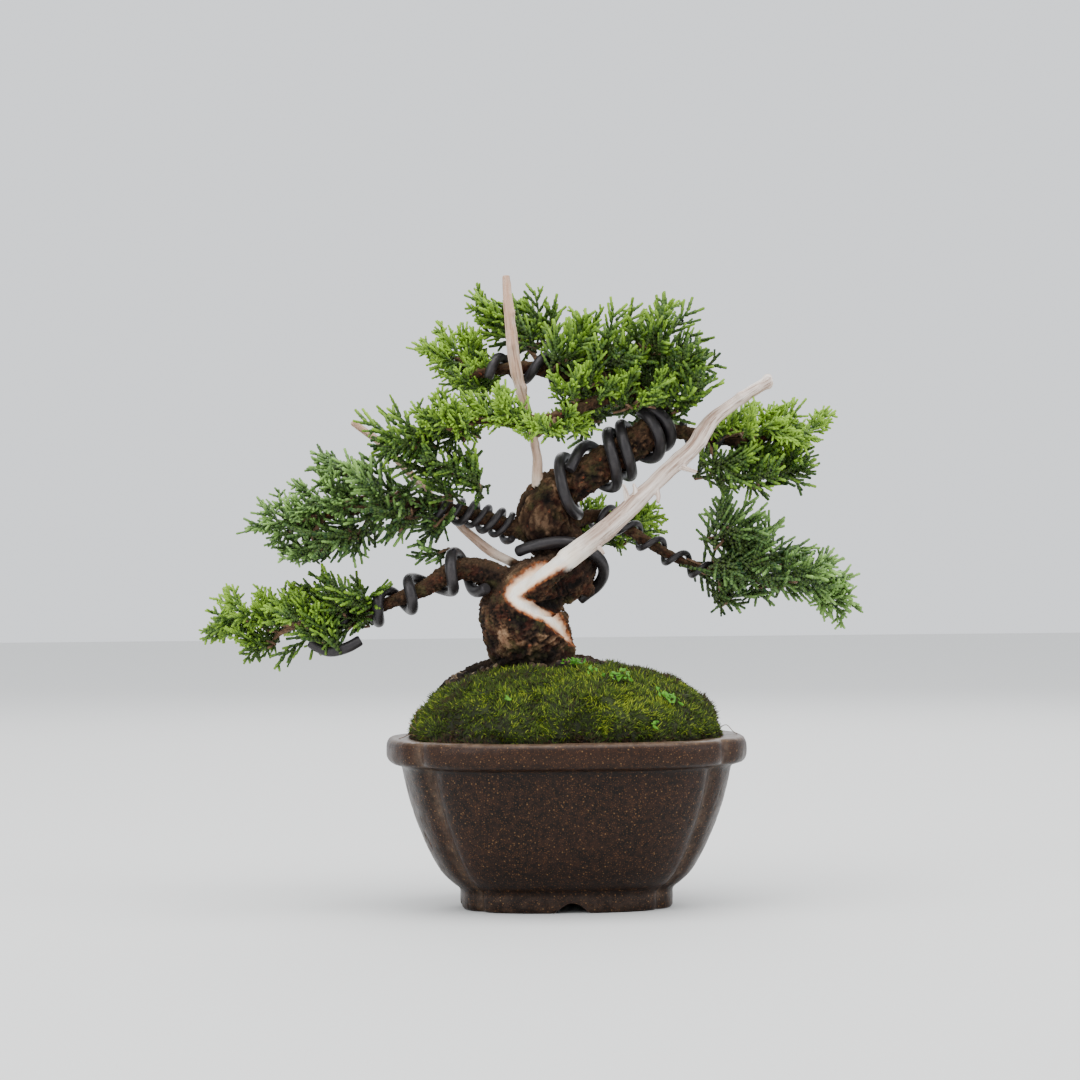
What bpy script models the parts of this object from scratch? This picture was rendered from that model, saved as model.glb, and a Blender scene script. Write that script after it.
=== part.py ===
"""A small juniper bonsai, wired and carved, in a four-lobed stoneware pot.

Metres, +Z up. The origin is the middle of the face that the pot stands on. X runs along the
pot's long side, and the tree's front looks along -Y. Sizes below are in millimetres.
"""

import math

import bmesh
import bpy
from mathutils import Matrix, Vector

MM = 0.001
UP = Vector((0.0, 0.0, 1.0))

# ---- Pot
POT_LENGTH = 120.0
POT_DEPTH = 97.0
POT_HEIGHT = 57.0
POT_WALL = 4.5
LIP_HEIGHT = 8.0
LIP_OVERHANG = 5.0
LIP_EDGE = 1.2
LIP_NECK = 2.4
FOOT_INSET = 24.5
FOOT_HEIGHT = 6.7
FOOT_WALL = 5.0
FLOOR_UNDERSIDE = 4.2
FLOOR_THICKNESS = 5.0
LOBE_SQUARENESS = 2.6
LOBE_NOTCH = 1.8
LOBE_NOTCH_TURN = math.radians(35)
LOBE_NOTCH_SPREAD = math.radians(6)
STEPS_PER_LOBE = 9
BODY_RINGS = 6
ARCH_WIDTH = 13.0
ARCH_HEIGHT = 3.5
DRAIN_RADIUS = 6.0
DRAIN_SPACING = 30.0
TIE_HOLE_RADIUS = 1.6
TIE_HOLE_SPACING = 18.0

# ---- Drain screens, their clips and the wire that ties the roots down
SCREEN_PITCH = 4.2
SCREEN_BAR = 1.1
SCREEN_OPENINGS = 4
SCREEN_THICKNESS = 0.8
CLIP_WIRE = 1.4
CLIP_REACH = 8.5
TIE_WIRE = 1.5

# ---- Soil and moss
SOIL_BELOW_LIP = 3.0
MOUND_HEIGHT = 24.5
MOUND_BULGE = 2.4
MOSS_THICKNESS = 3.6
MOSS_EDGE = 1.6
MOUND_RINGS = 5

# ---- Tree: its heights are measured from the mound's top, where the trunk leaves the moss
TREE_TURN = math.radians(-4)
GIRTH = 1.0
TRUNK_ROUNDNESS = 3
LIMB_ROUNDNESS = 2
TWIG_ROUNDNESS = 1

# ---- Fit
GAP = 0.3
CUT_GAP = 0.4
WIRE_GAP = 0.3
WIRE_ROOM = 1.3
MOSS_GAP = 0.7
POINTS_PER_TURN = 10

COLLAR = POT_HEIGHT + MOUND_HEIGHT
MOUND_INSET = LIP_OVERHANG + POT_WALL + MOSS_GAP
FLOOR_TOP = FLOOR_UNDERSIDE + FLOOR_THICKNESS

# Each limb's centre line: x, y, height above the collar, radius.
TRUNK = [
    (-7.5, 1.5, -20, 8), (-7.5, 1.5, -9, 11), (-7.8, 1, -1, 12), (-11, 0, 7, 14.6),
    (-13.5, -1, 17, 14.3), (-11, -1, 24, 12), (-5, 0, 27.8, 9.8), (1.2, 2, 29.8, 8.4),
    (3, 6.5, 34.5, 8.2), (-2, 8, 39.5, 8.2), (-6, 6.5, 45, 9), (-6.5, 5, 51.5, 9),
    (-2.5, 4, 57.5, 7.6), (5, 3, 61.8, 6.6), (13, 3, 66.5, 6.6), (21, 3, 71.5, 6),
    (28.5, 4, 76.5, 5.4), (32.5, 6, 82.5, 4.4), (30, 9, 89, 3.4), (23, 9, 94, 2.6),
    (14, 7, 97.5, 1.8),
]
LOWER_LEFT_BRANCH = [
    (-16, -1, 24, 6.2), (-22, -3, 28, 5.6), (-30, -5, 31.5, 4.4), (-38, -6, 30.5, 3.7),
    (-46, -5.5, 25.5, 3), (-55, -4, 21.8, 2.4), (-64, -2, 18, 2), (-71, 0, 14, 1.8),
    (-80, 2, 12.5, 1.4), (-90, 2, 13, 1),
]
LEFT_BRANCH = [
    (-8, 5, 43.5, 4.2), (-17, 4, 45, 3.2), (-25, 2.5, 48, 2.8), (-33, 1, 50.5, 2.5),
    (-43, -2, 52.5, 2.2), (-54, -4, 53.5, 1.9), (-66, -5, 52, 1.6), (-80, -5, 49.5, 1.2),
]
MIDDLE_BRANCH = [
    (21, 8, 89.5, 2.8), (15, -1, 88.5, 2.4), (6, -9, 85, 2.1), (-5, -13.5, 81.5, 1.8),
    (-20, -16, 80.5, 1.5), (-34, -16, 81, 1.2), (-46, -15, 81, 0.9),
]
CROWN_LEFT_BRANCH = [
    (32, 6, 82, 3.6), (24, 8, 88.5, 3.3), (12, 8, 93, 3), (0, 6, 96.5, 2.8),
    (-10, 4.5, 99, 2.5), (-21, 3.5, 98.5, 2.1), (-33, 3, 96, 1.8),
]
RIGHT_UPPER_BRANCH = [
    (28, 4, 76, 3.2), (36, 7.5, 77.5, 2.7), (46, 9, 76, 2.3), (57, 8.5, 74, 1.9),
    (68, 7, 75, 1.5), (77, 6, 79, 1),
]
RIGHT_LOWER_BRANCH = [
    (-4, 7, 44, 3.4), (5, 13, 48, 2.6), (14, 14, 49, 2.3), (22, 12.5, 44.5, 2),
    (31, 11, 38.5, 1.9), (41, 9, 33, 1.7), (50, 7, 29.5, 1.5), (60, 5, 28, 1.2),
    (72, 4, 25, 0.9),
]
BACK_BRANCH = [
    (-4, 8, 49, 3.4), (-2, 17, 50, 2.6), (3, 26, 47, 2.1), (10, 34, 44, 1.6),
    (16, 40, 43, 1.1),
]
CROWN_BACK_BRANCH = [
    (31, 7, 84, 3), (30, 16, 89, 2.4), (26, 25, 92, 1.9), (20, 33, 93, 1.3),
]
LONG_JIN = [
    (-13, -7, 20, 4.6), (-10, -11.2, 25.5, 4.6), (-3, -13.2, 31.8, 4.1), (8, -13.5, 40, 3.7),
    (20, -12.8, 49.8, 3.2), (32, -12, 61, 2.9), (41.5, -11, 70.2, 2.9),
    (46.2, -10.5, 76, 2.8), (52, -10, 82.8, 2.2), (60.6, -9.2, 88.6, 2), (68.5, -8.5, 93, 1.5),
]
TOP_JIN = [
    (-5, 3.5, 54, 3.2), (-8.7, 1, 60, 2.4), (-8.8, -1, 70, 2), (-10.5, -2.5, 79, 1.9),
    (-13.5, -3.5, 88, 1.9), (-16, -4.5, 98, 2.1), (-17, -5, 108, 2), (-18.2, -5.5, 120, 1.8),
    (-18.8, -5.5, 129.6, 1.3),
]
LEFT_JIN = [
    (-12, 1, 27, 3), (-16, 3, 32.5, 2), (-23, 4.5, 36, 1.6), (-30, 5.5, 41, 1.5),
    (-35.5, 6.5, 46.5, 1.4), (-43, 7.5, 54, 1.4), (-51, 8, 62.5, 1.3), (-58, 8, 69.5, 1.3),
    (-64, 7.5, 76, 1.2), (-71, 7, 81.5, 0.9),
]
ROOTS = [
    [(-10, 4, -4, 8), (-22, 9, -5, 4.6), (-34, 12, -9.5, 3), (-43, 13, -18, 2)],
    [(-4, 3, -5, 8), (8, 6, -6, 4.4), (20, 8, -9, 3), (31, 9, -18, 2)],
    [(-9, -4, -5, 8), (-12, -12, -10, 4.2), (-14, -20, -15.5, 2.8), (-16, -26, -27, 1.8)],
    [(-5, -4, -5, 8), (7, -13, -10, 4), (16, -21, -18, 2.6), (19, -24, -28, 1.8)],
    [(-7, 6, -5, 8), (-5, 14, -9, 4), (-2, 22, -14.5, 2.8), (3, 27, -26, 1.8)],
]

# The tie wire hooks over the front root and the back root: these points run along its
# underside. Heights are from the collar, and the middle of its run, under the pot, comes from
# the tie holes.
TIE_FRONT = [
    (-24, -19, -20.7), (-19.5, -19.5, -13.2), (-14, -20, -12), (-8, -19.5, -14.7),
    (-3, -17, -24.7),
]
TIE_BACK = [
    (3, 15, -24.7), (5, 19.5, -14.2), (-1, 21, -9.7), (-8, 20.5, -11.7), (-14, 19, -19.7),
]

# Training wires: limb, diameter, start and end along the limb, pitch, first angle. An angle
# of 0 is above the limb. A wire with a negative pitch winds the other way.
WIRES = {
    "wire_lower_left_branch": ("lower_left", 4.0, 11, 62, -12.6, 314),
    "wire_upper_trunk": ("trunk", 4.0, 93.5, 128, -18, 140),
    "wire_upper_trunk_second": ("trunk", 4.0, 104, 131, -18, 40),
    "wire_left_branch": ("left", 2.5, 10, 36, -9, 190),
    "wire_left_branch_second": ("left", 2.0, 12, 32, -9, 290),
    "wire_crown_left_branch": ("crown_left", 3.4, 24, 50, -14.5, 112),
    "wire_right_upper_branch": ("right_upper", 2.0, 12, 32, -7.9, 40),
    "wire_right_lower_branch": ("right_lower", 2.0, 16, 60, -9.8, 231),
}

# The wire in the trunk's bend: over its shoulder, round the outside and back underneath.
BEND_WIRE = [
    (-17, -1, 37.2), (-12, -3.6, 39), (-5, -4.8, 41), (2, -4.8, 40), (7.4, -3.6, 37.6),
    (11.8, 0.8, 34), (12.2, 5, 29), (10, 5.6, 24), (5, 5, 19.8),
]
BEND_WIRE_DIAMETER = 4.0

# Foliage pads: centre (height from the collar), half sizes, turn about Z, tilt about Y.
PADS = {
    "foliage_lower_left": ((-91, 1, 15), (30, 21, 13), 0, -8),
    "foliage_left": ((-69, -2, 55), (37, 24, 15), 0, -14),
    "foliage_middle": ((-36, -17, 82.5), (31, 14, 11), 0, -4),
    "foliage_crown_left": ((-25, 15, 108), (20, 16, 17), 0, -14),
    "foliage_crown": ((27, 4, 98), (28, 27, 19), 0, 6),
    "foliage_right_upper": ((65, 8, 71), (25, 20, 15), 0, 0),
    "foliage_right_lower": ((71, 5, 31), (28, 20, 16), 0, 20),
    "foliage_back": ((16, 40, 45), (20, 15, 10), 20, 0),
    "foliage_crown_back": ((20, 43, 90), (22, 12, 13), 0, 0),
}
PAD_SEGMENTS = 14
PAD_RINGS = 9
PAD_LUMP = 0.07

COLOURS = {
    "stoneware": ((0.105, 0.058, 0.042), 0.55),
    "screen": ((0.03, 0.03, 0.03), 0.6),
    "anodised_wire": ((0.035, 0.032, 0.036), 0.42),
    "soil": ((0.06, 0.04, 0.028), 0.95),
    "moss": ((0.12, 0.19, 0.03), 0.9),
    "wood": ((0.23, 0.14, 0.1), 0.85),
    "foliage": ((0.11, 0.25, 0.06), 0.6),
}


# ---- Curves
def catmull_rom(points, steps):
    """Evenly smooth points through the given ones; extra values such as a radius go along."""
    padded = [points[0], *points, points[-1]]
    found = []
    for a, b, c, d in zip(padded, padded[1:], padded[2:], padded[3:]):
        for i in range(steps):
            t = i / steps
            found.append(tuple(
                0.5 * (2 * q + (r - p) * t + (2 * p - 5 * q + 4 * r - s) * t * t
                       + (3 * q - p - 3 * r + s) * t ** 3)
                for p, q, r, s in zip(a, b, c, d)))
    found.append(tuple(float(v) for v in points[-1]))
    return found


def limb_line(points, steps=4):
    """A limb's centre line and radii in pot coordinates, in millimetres."""
    return [
        (Vector((x, y, z + COLLAR)), r * GIRTH)
        for x, y, z, r in catmull_rom(points, steps)
    ]


def frames_along(line):
    """A tangent and an upward normal at each point, turning as little as possible."""
    tangents = []
    for i in range(len(line)):
        ahead = line[min(i + 1, len(line) - 1)]
        behind = line[max(i - 1, 0)]
        tangents.append((ahead - behind).normalized())
    normal = UP - tangents[0] * UP.dot(tangents[0])
    if normal.length < 0.05:
        normal = Vector((0, -1, 0))
    normals = []
    for tangent in tangents:
        normal = (normal - tangent * normal.dot(tangent)).normalized()
        normals.append(normal)
    return tangents, normals


def along_limb(limb):
    """How far along the limb each of its points is."""
    found = [0.0]
    for (a, _), (b, _) in zip(limb, limb[1:]):
        found.append(found[-1] + (b - a).length)
    return found


def place_on(limb, distance):
    """The point before a distance along the limb, and the share of the way to the next one."""
    along = along_limb(limb)
    distance = max(0.0, min(distance, along[-1] - 1e-6))
    k = next(j for j in range(len(along) - 1) if along[j + 1] > distance)
    return k, (distance - along[k]) / (along[k + 1] - along[k])


def helix_around(limb, diameter, start, end, pitch, first_angle):
    """A wire's centre line as it winds over a limb, lying WIRE_GAP off its bark."""
    tangents, normals = frames_along([p for p, _ in limb])
    turns = (end - start) / abs(pitch)
    count = max(2, round(turns * POINTS_PER_TURN))
    off_bark = diameter / 2 + WIRE_GAP
    path = []
    for i in range(count + 1):
        k, t = place_on(limb, start + (end - start) * i / count)
        centre = limb[k][0].lerp(limb[k + 1][0], t)
        radius = limb[k][1] + (limb[k + 1][1] - limb[k][1]) * t
        tangent = tangents[k].lerp(tangents[k + 1], t).normalized()
        normal = normals[k].lerp(normals[k + 1], t)
        normal = (normal - tangent * normal.dot(tangent)).normalized()
        angle = math.radians(first_angle) + math.copysign(2 * math.pi, pitch) * turns * i / count
        outward = normal * math.cos(angle) + tangent.cross(normal) * math.sin(angle)
        path.append(centre + outward * (radius + off_bark) / math.cos(math.pi / POINTS_PER_TURN))
    return path


def keep_clear(path, diameter, tree_limbs):
    """Pushes a wire's points out of every limb that they are too near."""
    for _ in range(6):
        for i, point in enumerate(path):
            for line, _ in tree_limbs.values():
                for (a, first), (b, last) in zip(line, line[1:]):
                    span = b - a
                    t = max(0.0, min(1.0, (point - a).dot(span) / span.length_squared))
                    away = point - (a + span * t)
                    need = first + (last - first) * t + (diameter / 2 + WIRE_GAP) * 1.2
                    if away.length < need:
                        point = point + away.normalized() * (need - away.length)
            path[i] = point
    return path


# ---- Objects
def material(name):
    """The Principled material of one of COLOURS, made once."""
    found = bpy.data.materials.get(name)
    if found:
        return found
    colour, roughness = COLOURS[name]
    found = bpy.data.materials.new(name)
    found.use_nodes = True
    shader = found.node_tree.nodes["Principled BSDF"]
    shader.inputs["Base Color"].default_value = (*colour, 1)
    shader.inputs["Roughness"].default_value = roughness
    shader.inputs["Metallic"].default_value = 0.6 if name == "anodised_wire" else 0.0
    found.diffuse_color = (*colour, 1)
    return found


def add(name, data, slot=None, cutter=False):
    """Links an object; a cutter stays out of renders and of the model."""
    made = bpy.data.objects.new(name, data)
    bpy.context.scene.collection.objects.link(made)
    if slot:
        data.materials.append(material(slot))
    if cutter:
        made.hide_render = True
        made.display_type = "WIRE"
    return made


def mesh_from(name, bm):
    """A mesh in metres from a bmesh in millimetres, with its faces pointing out."""
    bmesh.ops.scale(bm, vec=(MM, MM, MM), verts=bm.verts)
    bmesh.ops.recalc_face_normals(bm, faces=bm.faces)
    data = bpy.data.meshes.new(name)
    bm.to_mesh(data)
    bm.free()
    return data


def tube(name, path, radii, resolution, slot=None, extra=0.0, cutter=False):
    """A round tube along a path: a poly curve with a bevel and filled caps."""
    curve = bpy.data.curves.new(name, "CURVE")
    curve.dimensions = "3D"
    curve.bevel_depth = MM
    curve.bevel_resolution = resolution
    curve.use_fill_caps = True
    spline = curve.splines.new("POLY")
    spline.points.add(len(path) - 1)
    for point, place, radius in zip(spline.points, path, radii):
        point.co = (*(place * MM), 1)
        point.radius = radius + extra
    return add(name, curve, slot, cutter)


def as_mesh(obj):
    """Turns a curve object into a mesh object of the same name, for Booleans."""
    graph = bpy.context.evaluated_depsgraph_get()
    data = bpy.data.meshes.new_from_object(obj.evaluated_get(graph))
    name, slots, hidden = obj.name, list(obj.data.materials), obj.hide_render
    bpy.data.objects.remove(obj)
    bm = bmesh.new()
    bm.from_mesh(data)
    bmesh.ops.remove_doubles(bm, verts=bm.verts, dist=1e-6)
    bmesh.ops.recalc_face_normals(bm, faces=bm.faces)
    bm.to_mesh(data)
    bm.free()
    made = add(name, data, cutter=hidden)
    data.materials.clear()
    for slot in slots:
        data.materials.append(slot)
    return made


def boolean(obj, other, operation):
    """Joins or cuts one mesh object with another through a Boolean modifier."""
    modifier = obj.modifiers.new(other.name, "BOOLEAN")
    modifier.operation = operation
    modifier.object = other
    modifier.solver = "EXACT"


def lobed_ring(bm, inset, z, notch=LOBE_NOTCH):
    """One ring of the four-lobed plan, that far inside the lip's outline."""
    half_length = POT_LENGTH / 2 - inset
    half_depth = POT_DEPTH / 2 - inset
    power = 2 / LOBE_SQUARENESS
    notches = [LOBE_NOTCH_TURN, math.pi - LOBE_NOTCH_TURN]
    notches += [math.pi + LOBE_NOTCH_TURN, 2 * math.pi - LOBE_NOTCH_TURN]
    ring = []
    for first, last in zip(notches, [*notches[1:], notches[0] + 2 * math.pi]):
        for i in range(STEPS_PER_LOBE):
            turn = first + (last - first) * i / STEPS_PER_LOBE
            c, s = math.cos(turn), math.sin(turn)
            x = half_length * math.copysign(abs(c) ** power, c)
            y = half_depth * math.copysign(abs(s) ** power, s)
            off = min(abs(turn - first), abs(last - turn)) / LOBE_NOTCH_SPREAD
            keep = 1 - notch * math.exp(-off * off) / math.hypot(x, y)
            ring.append(bm.verts.new((x * keep, y * keep, z)))
    return ring


def bridge(bm, lower, upper):
    """Quads between two rings of the same length."""
    n = len(lower)
    for i in range(n):
        j = (i + 1) % n
        bm.faces.new((lower[i], lower[j], upper[j], upper[i]))


def stack(name, profile, slot=None, cutter=False):
    """A closed solid through a list of (inset, z) or (inset, z, notch) rings, capped at both ends."""
    bm = bmesh.new()
    rings = [lobed_ring(bm, *level) for level in profile]
    for lower, upper in zip(rings, rings[1:]):
        bridge(bm, lower, upper)
    bm.faces.new(reversed(rings[0]))
    bm.faces.new(rings[-1])
    return add(name, mesh_from(name, bm), slot, cutter)


def cylinder(name, radius, low, high, x=0.0, y=0.0, sides=16):
    bm = bmesh.new()
    bmesh.ops.create_cone(bm, cap_ends=True, segments=sides, radius1=radius, radius2=radius,
                          depth=high - low, matrix=Matrix.Translation((x, y, (low + high) / 2)))
    return add(name, mesh_from(name, bm), cutter=True)


# ---- Pot
def body_inset(share):
    """How far the wall's outer face lies inside the lip, from the foot (0) to the neck (1)."""
    return LIP_OVERHANG + (FOOT_INSET - LIP_OVERHANG) * (1 - share ** 0.6) ** 1.1


def neck_height():
    return POT_HEIGHT - LIP_HEIGHT - LIP_NECK


def inner_inset(z):
    """The inset of the pot's inner wall at a height."""
    share = (z - FLOOR_TOP) / (POT_HEIGHT - FLOOR_TOP)
    return body_inset(max(0.0, min(1.0, share)) * 0.94 + 0.06) + POT_WALL


def arch_cutter(name, along_x):
    """A bell-shaped passage through two opposite sides of the foot."""
    bm = bmesh.new()
    count = 10
    outline = [(-ARCH_WIDTH / 2, -1.0)]
    for i in range(count + 1):
        share = i / count * 2 - 1
        outline.append((share * ARCH_WIDTH / 2, ARCH_HEIGHT * math.cos(share * math.pi / 2) ** 1.3))
    outline.append((ARCH_WIDTH / 2, -1.0))
    reach = POT_LENGTH
    ends = []
    for side in (-reach, reach):
        ends.append([bm.verts.new((side, u, v) if along_x else (u, side, v)) for u, v in outline])
    bridge(bm, ends[0], ends[1])
    bm.faces.new(ends[0])
    bm.faces.new(reversed(ends[1]))
    return add(name, mesh_from(name, bm), cutter=True)


def build_pot():
    profile = [(FOOT_INSET + FOOT_WALL, FLOOR_UNDERSIDE), (FOOT_INSET + FOOT_WALL, 0)]
    profile += [(FOOT_INSET, 0), (FOOT_INSET, FOOT_HEIGHT)]
    for i in range(1, BODY_RINGS + 1):
        share = (i / BODY_RINGS) ** 1.5
        profile.append((body_inset(share), FOOT_HEIGHT + (neck_height() - FOOT_HEIGHT) * share))
    lip_low = POT_HEIGHT - LIP_HEIGHT
    profile += [(LIP_EDGE, lip_low), (0, lip_low + LIP_EDGE), (0, POT_HEIGHT - LIP_EDGE)]
    profile += [(LIP_EDGE, POT_HEIGHT), (inner_inset(POT_HEIGHT), POT_HEIGHT)]
    for i in range(BODY_RINGS - 1, -1, -1):
        z = FLOOR_TOP + (POT_HEIGHT - FLOOR_TOP) * (i / BODY_RINGS) ** 1.5
        profile.append((inner_inset(z), z))
    pot = stack("pot", profile, "stoneware")
    cutters = [arch_cutter("cut_front_arch", False), arch_cutter("cut_side_arch", True)]
    for side in (-1, 1):
        x, y = side * DRAIN_SPACING / 2, side * TIE_HOLE_SPACING / 2
        cutters.append(cylinder(f"cut_drain_{side}", DRAIN_RADIUS, 1, FLOOR_TOP + 5, x=x))
        cutters.append(cylinder(f"cut_tie_{side}", TIE_HOLE_RADIUS, 1, FLOOR_TOP + 5, y=y, sides=10))
    for cutter in cutters:
        boolean(pot, cutter, "DIFFERENCE")


# ---- Screens, clips and the tie wire
def build_screen(name, x):
    """A square of plastic mesh that keeps the soil in over a drain hole."""
    half = (SCREEN_PITCH * SCREEN_OPENINGS + SCREEN_BAR) / 2
    edges = [-half]
    for i in range(SCREEN_OPENINGS):
        edges += [-half + i * SCREEN_PITCH + SCREEN_BAR, -half + (i + 1) * SCREEN_PITCH]
    edges.append(half)
    bottom = FLOOR_TOP + GAP
    bm = bmesh.new()
    grid = [[bm.verts.new((x + u, v, bottom)) for u in edges] for v in edges]
    for i in range(len(edges) - 1):
        for j in range(len(edges) - 1):
            if i % 2 == 0 or j % 2 == 0:
                bm.faces.new((grid[i][j], grid[i][j + 1], grid[i + 1][j + 1], grid[i + 1][j]))
    raised = bmesh.ops.extrude_face_region(bm, geom=bm.faces[:])["geom"]
    lifted = [v for v in raised if isinstance(v, bmesh.types.BMVert)]
    bmesh.ops.translate(bm, verts=lifted, vec=(0, 0, SCREEN_THICKNESS))
    add(name, mesh_from(name, bm), "screen")


def screen_top():
    return FLOOR_TOP + GAP + SCREEN_THICKNESS


def build_clip(name, x):
    """A bent wire over the screen; its legs go down through the drain hole and turn out."""
    top = screen_top() + GAP + CLIP_WIRE / 2
    low = FLOOR_UNDERSIDE - GAP - CLIP_WIRE / 2
    leg, bend = SCREEN_PITCH / 2, CLIP_WIRE * 0.5
    half = [(0, top), (leg - bend, top), (leg, top - bend), (leg, low + bend)]
    half += [(leg + bend, low), (CLIP_REACH, low)]
    path = [(-u, v) for u, v in reversed(half[1:])] + half
    places = [Vector((x + u, leg, v)) for u, v in path]
    tube(name, places, [CLIP_WIRE / 2] * len(places), TWIG_ROUNDNESS, "anodised_wire")


def screen_cutter(name, x):
    """The space that the screen and its clip leave under the soil."""
    half = (SCREEN_PITCH * SCREEN_OPENINGS + SCREEN_BAR) / 2 + 2 * GAP
    low, high = FLOOR_TOP - 1, screen_top() + GAP + CLIP_WIRE + GAP
    bm = bmesh.new()
    bmesh.ops.create_cube(bm, size=1)
    bmesh.ops.scale(bm, vec=(2 * half, 2 * half, high - low), verts=bm.verts)
    bmesh.ops.translate(bm, vec=(x, 0, (low + high) / 2), verts=bm.verts)
    return add(name, mesh_from(name, bm), cutter=True)


def tie_line():
    """The tie wire's centre line: over the front root, under the pot and over the back root."""
    low = FLOOR_UNDERSIDE - GAP - TIE_WIRE / 2
    hole = TIE_HOLE_SPACING / 2
    lift = COLLAR + TIE_WIRE / 2
    front = [(x, y, z + lift) for x, y, z in TIE_FRONT]
    back = [(x, y, z + lift) for x, y, z in TIE_BACK]
    above = FLOOR_TOP + 3
    middle = [(0, -hole - 2.5, above + 12), (0, -hole, above), (0, -hole, low + 1)]
    middle += [(0, -hole + 1, low), (0, hole - 1, low)]
    middle += [(0, hole, low + 1), (0, hole, above), (0, hole + 2.5, above + 12)]
    smooth_front = catmull_rom([*front, middle[0]], 3)[:-1]
    smooth_back = catmull_rom([middle[-1], *back], 3)[1:]
    return [Vector(p) for p in [*smooth_front, *middle, *smooth_back]]


# ---- Soil and moss
def mound_profile(height, inset, base):
    """Rings of the mound from its foot to near its top, as (inset, z)."""
    span = min(POT_LENGTH, POT_DEPTH) / 2 - inset
    rings = []
    for i in range(MOUND_RINGS):
        share = math.cos(math.pi / 2 * (i + 0.35) / MOUND_RINGS)
        rise = height * math.sqrt(1 - share ** MOUND_BULGE)
        rings.append((inset + span * (1 - share), base + rise, LOBE_NOTCH * share * 0.5))
    return rings


def build_soil(cutters):
    top = POT_HEIGHT - SOIL_BELOW_LIP
    profile = []
    for i in range(4):
        z = FLOOR_TOP + GAP + (top - FLOOR_TOP - GAP) * (i / 3) ** 1.5
        profile.append((inner_inset(z) + GAP, z))
    profile += mound_profile(COLLAR - MOSS_THICKNESS - top, MOUND_INSET + MOSS_THICKNESS, top + 0.4)
    soil = stack("soil", profile, "soil")
    for cutter in cutters:
        boolean(soil, cutter, "DIFFERENCE")


def build_moss(cutters):
    """The moss cushion: a thick skin over the mound, open round the trunk."""
    base = POT_HEIGHT - SOIL_BELOW_LIP
    outer = mound_profile(COLLAR - base - MOSS_EDGE, MOUND_INSET, base + MOSS_EDGE + GAP)
    inner = mound_profile(COLLAR - MOSS_THICKNESS - base, MOUND_INSET + MOSS_THICKNESS, base + 0.4 + GAP)
    bm = bmesh.new()
    levels = [*outer, *reversed(inner), (MOUND_INSET, base + GAP + 0.4)]
    rings = [lobed_ring(bm, *level) for level in levels]
    for lower, upper in zip(rings, [*rings[1:], rings[0]]):
        bridge(bm, lower, upper)
    moss = add("moss", mesh_from("moss", bm), "moss")
    for cutter in cutters:
        boolean(moss, cutter, "DIFFERENCE")


# ---- Tree
def limbs():
    """Each limb's centre line and its tube's resolution, by name."""
    found = {
        "trunk": (limb_line(TRUNK, 2), TRUNK_ROUNDNESS),
        "lower_left": (limb_line(LOWER_LEFT_BRANCH, 2), LIMB_ROUNDNESS),
        "left": (limb_line(LEFT_BRANCH, 2), TWIG_ROUNDNESS),
        "middle": (limb_line(MIDDLE_BRANCH, 1), TWIG_ROUNDNESS),
        "crown_left": (limb_line(CROWN_LEFT_BRANCH, 2), TWIG_ROUNDNESS),
        "right_upper": (limb_line(RIGHT_UPPER_BRANCH, 2), TWIG_ROUNDNESS),
        "right_lower": (limb_line(RIGHT_LOWER_BRANCH, 2), TWIG_ROUNDNESS),
        "back": (limb_line(BACK_BRANCH, 1), TWIG_ROUNDNESS),
        "crown_back": (limb_line(CROWN_BACK_BRANCH, 1), TWIG_ROUNDNESS),
        "long_jin": (limb_line(LONG_JIN, 1), LIMB_ROUNDNESS),
        "top_jin": (limb_line(TOP_JIN, 1), TWIG_ROUNDNESS),
        "left_jin": (limb_line(LEFT_JIN, 1), TWIG_ROUNDNESS),
    }
    for i, root in enumerate(ROOTS):
        found[f"root_{i}"] = (limb_line(root, 1), LIMB_ROUNDNESS)
    return found


def limb_mesh(name, limb, roundness, extra=0.0, cutter=False):
    """A limb as a mesh tube, fatter by extra."""
    made = tube(name, [p for p, _ in limb], [r for _, r in limb], roundness,
                extra=extra, cutter=cutter)
    return as_mesh(made)


def joined_limbs(name, tree_limbs, front, extra=0.0, cutter=False):
    """Every limb and root as one mesh; extra makes them fatter, for a cutter."""
    made = None
    for limb, (line, sides) in tree_limbs.items():
        piece = limb_mesh(name if made is None else f"{name}_{limb}", line, sides,
                          extra=extra, cutter=cutter or made is not None)
        piece.parent = front
        if made is None:
            made = piece
        else:
            boolean(made, piece, "UNION")
    return made


def build_tree(tree_limbs, front):
    """Trunk, branches, bare wood and roots, grown as one piece."""
    tree = joined_limbs("tree", tree_limbs, front)
    tree.data.materials.append(material("wood"))


def build_wires(tree_limbs, front):
    """The training wires, and the room round them that the foliage leaves."""
    rooms = []
    for name, (limb, diameter, start, end, pitch, angle) in WIRES.items():
        line = tree_limbs[limb][0]
        path = helix_around(line, diameter, start, end, pitch, angle)
        path = keep_clear(path, diameter, tree_limbs)
        wire = tube(name, path, [diameter / 2] * len(path), TWIG_ROUNDNESS, "anodised_wire")
        wire.parent = front
        first, last = place_on(line, start - diameter)[0], place_on(line, end + diameter)[0] + 1
        room = limb_mesh(f"cut_room_{name}", line[first:last + 1], LIMB_ROUNDNESS,
                         extra=(diameter + 2 * WIRE_GAP) * WIRE_ROOM, cutter=True)
        room.parent = front
        rooms.append(room)
    bend = [Vector((x, y, z + COLLAR)) for x, y, z in catmull_rom(BEND_WIRE, 3)]
    bend = keep_clear(bend, BEND_WIRE_DIAMETER, tree_limbs)
    wire = tube("wire_trunk_bend", bend, [BEND_WIRE_DIAMETER / 2] * len(bend),
                TWIG_ROUNDNESS, "anodised_wire")
    wire.parent = front
    return rooms


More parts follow.
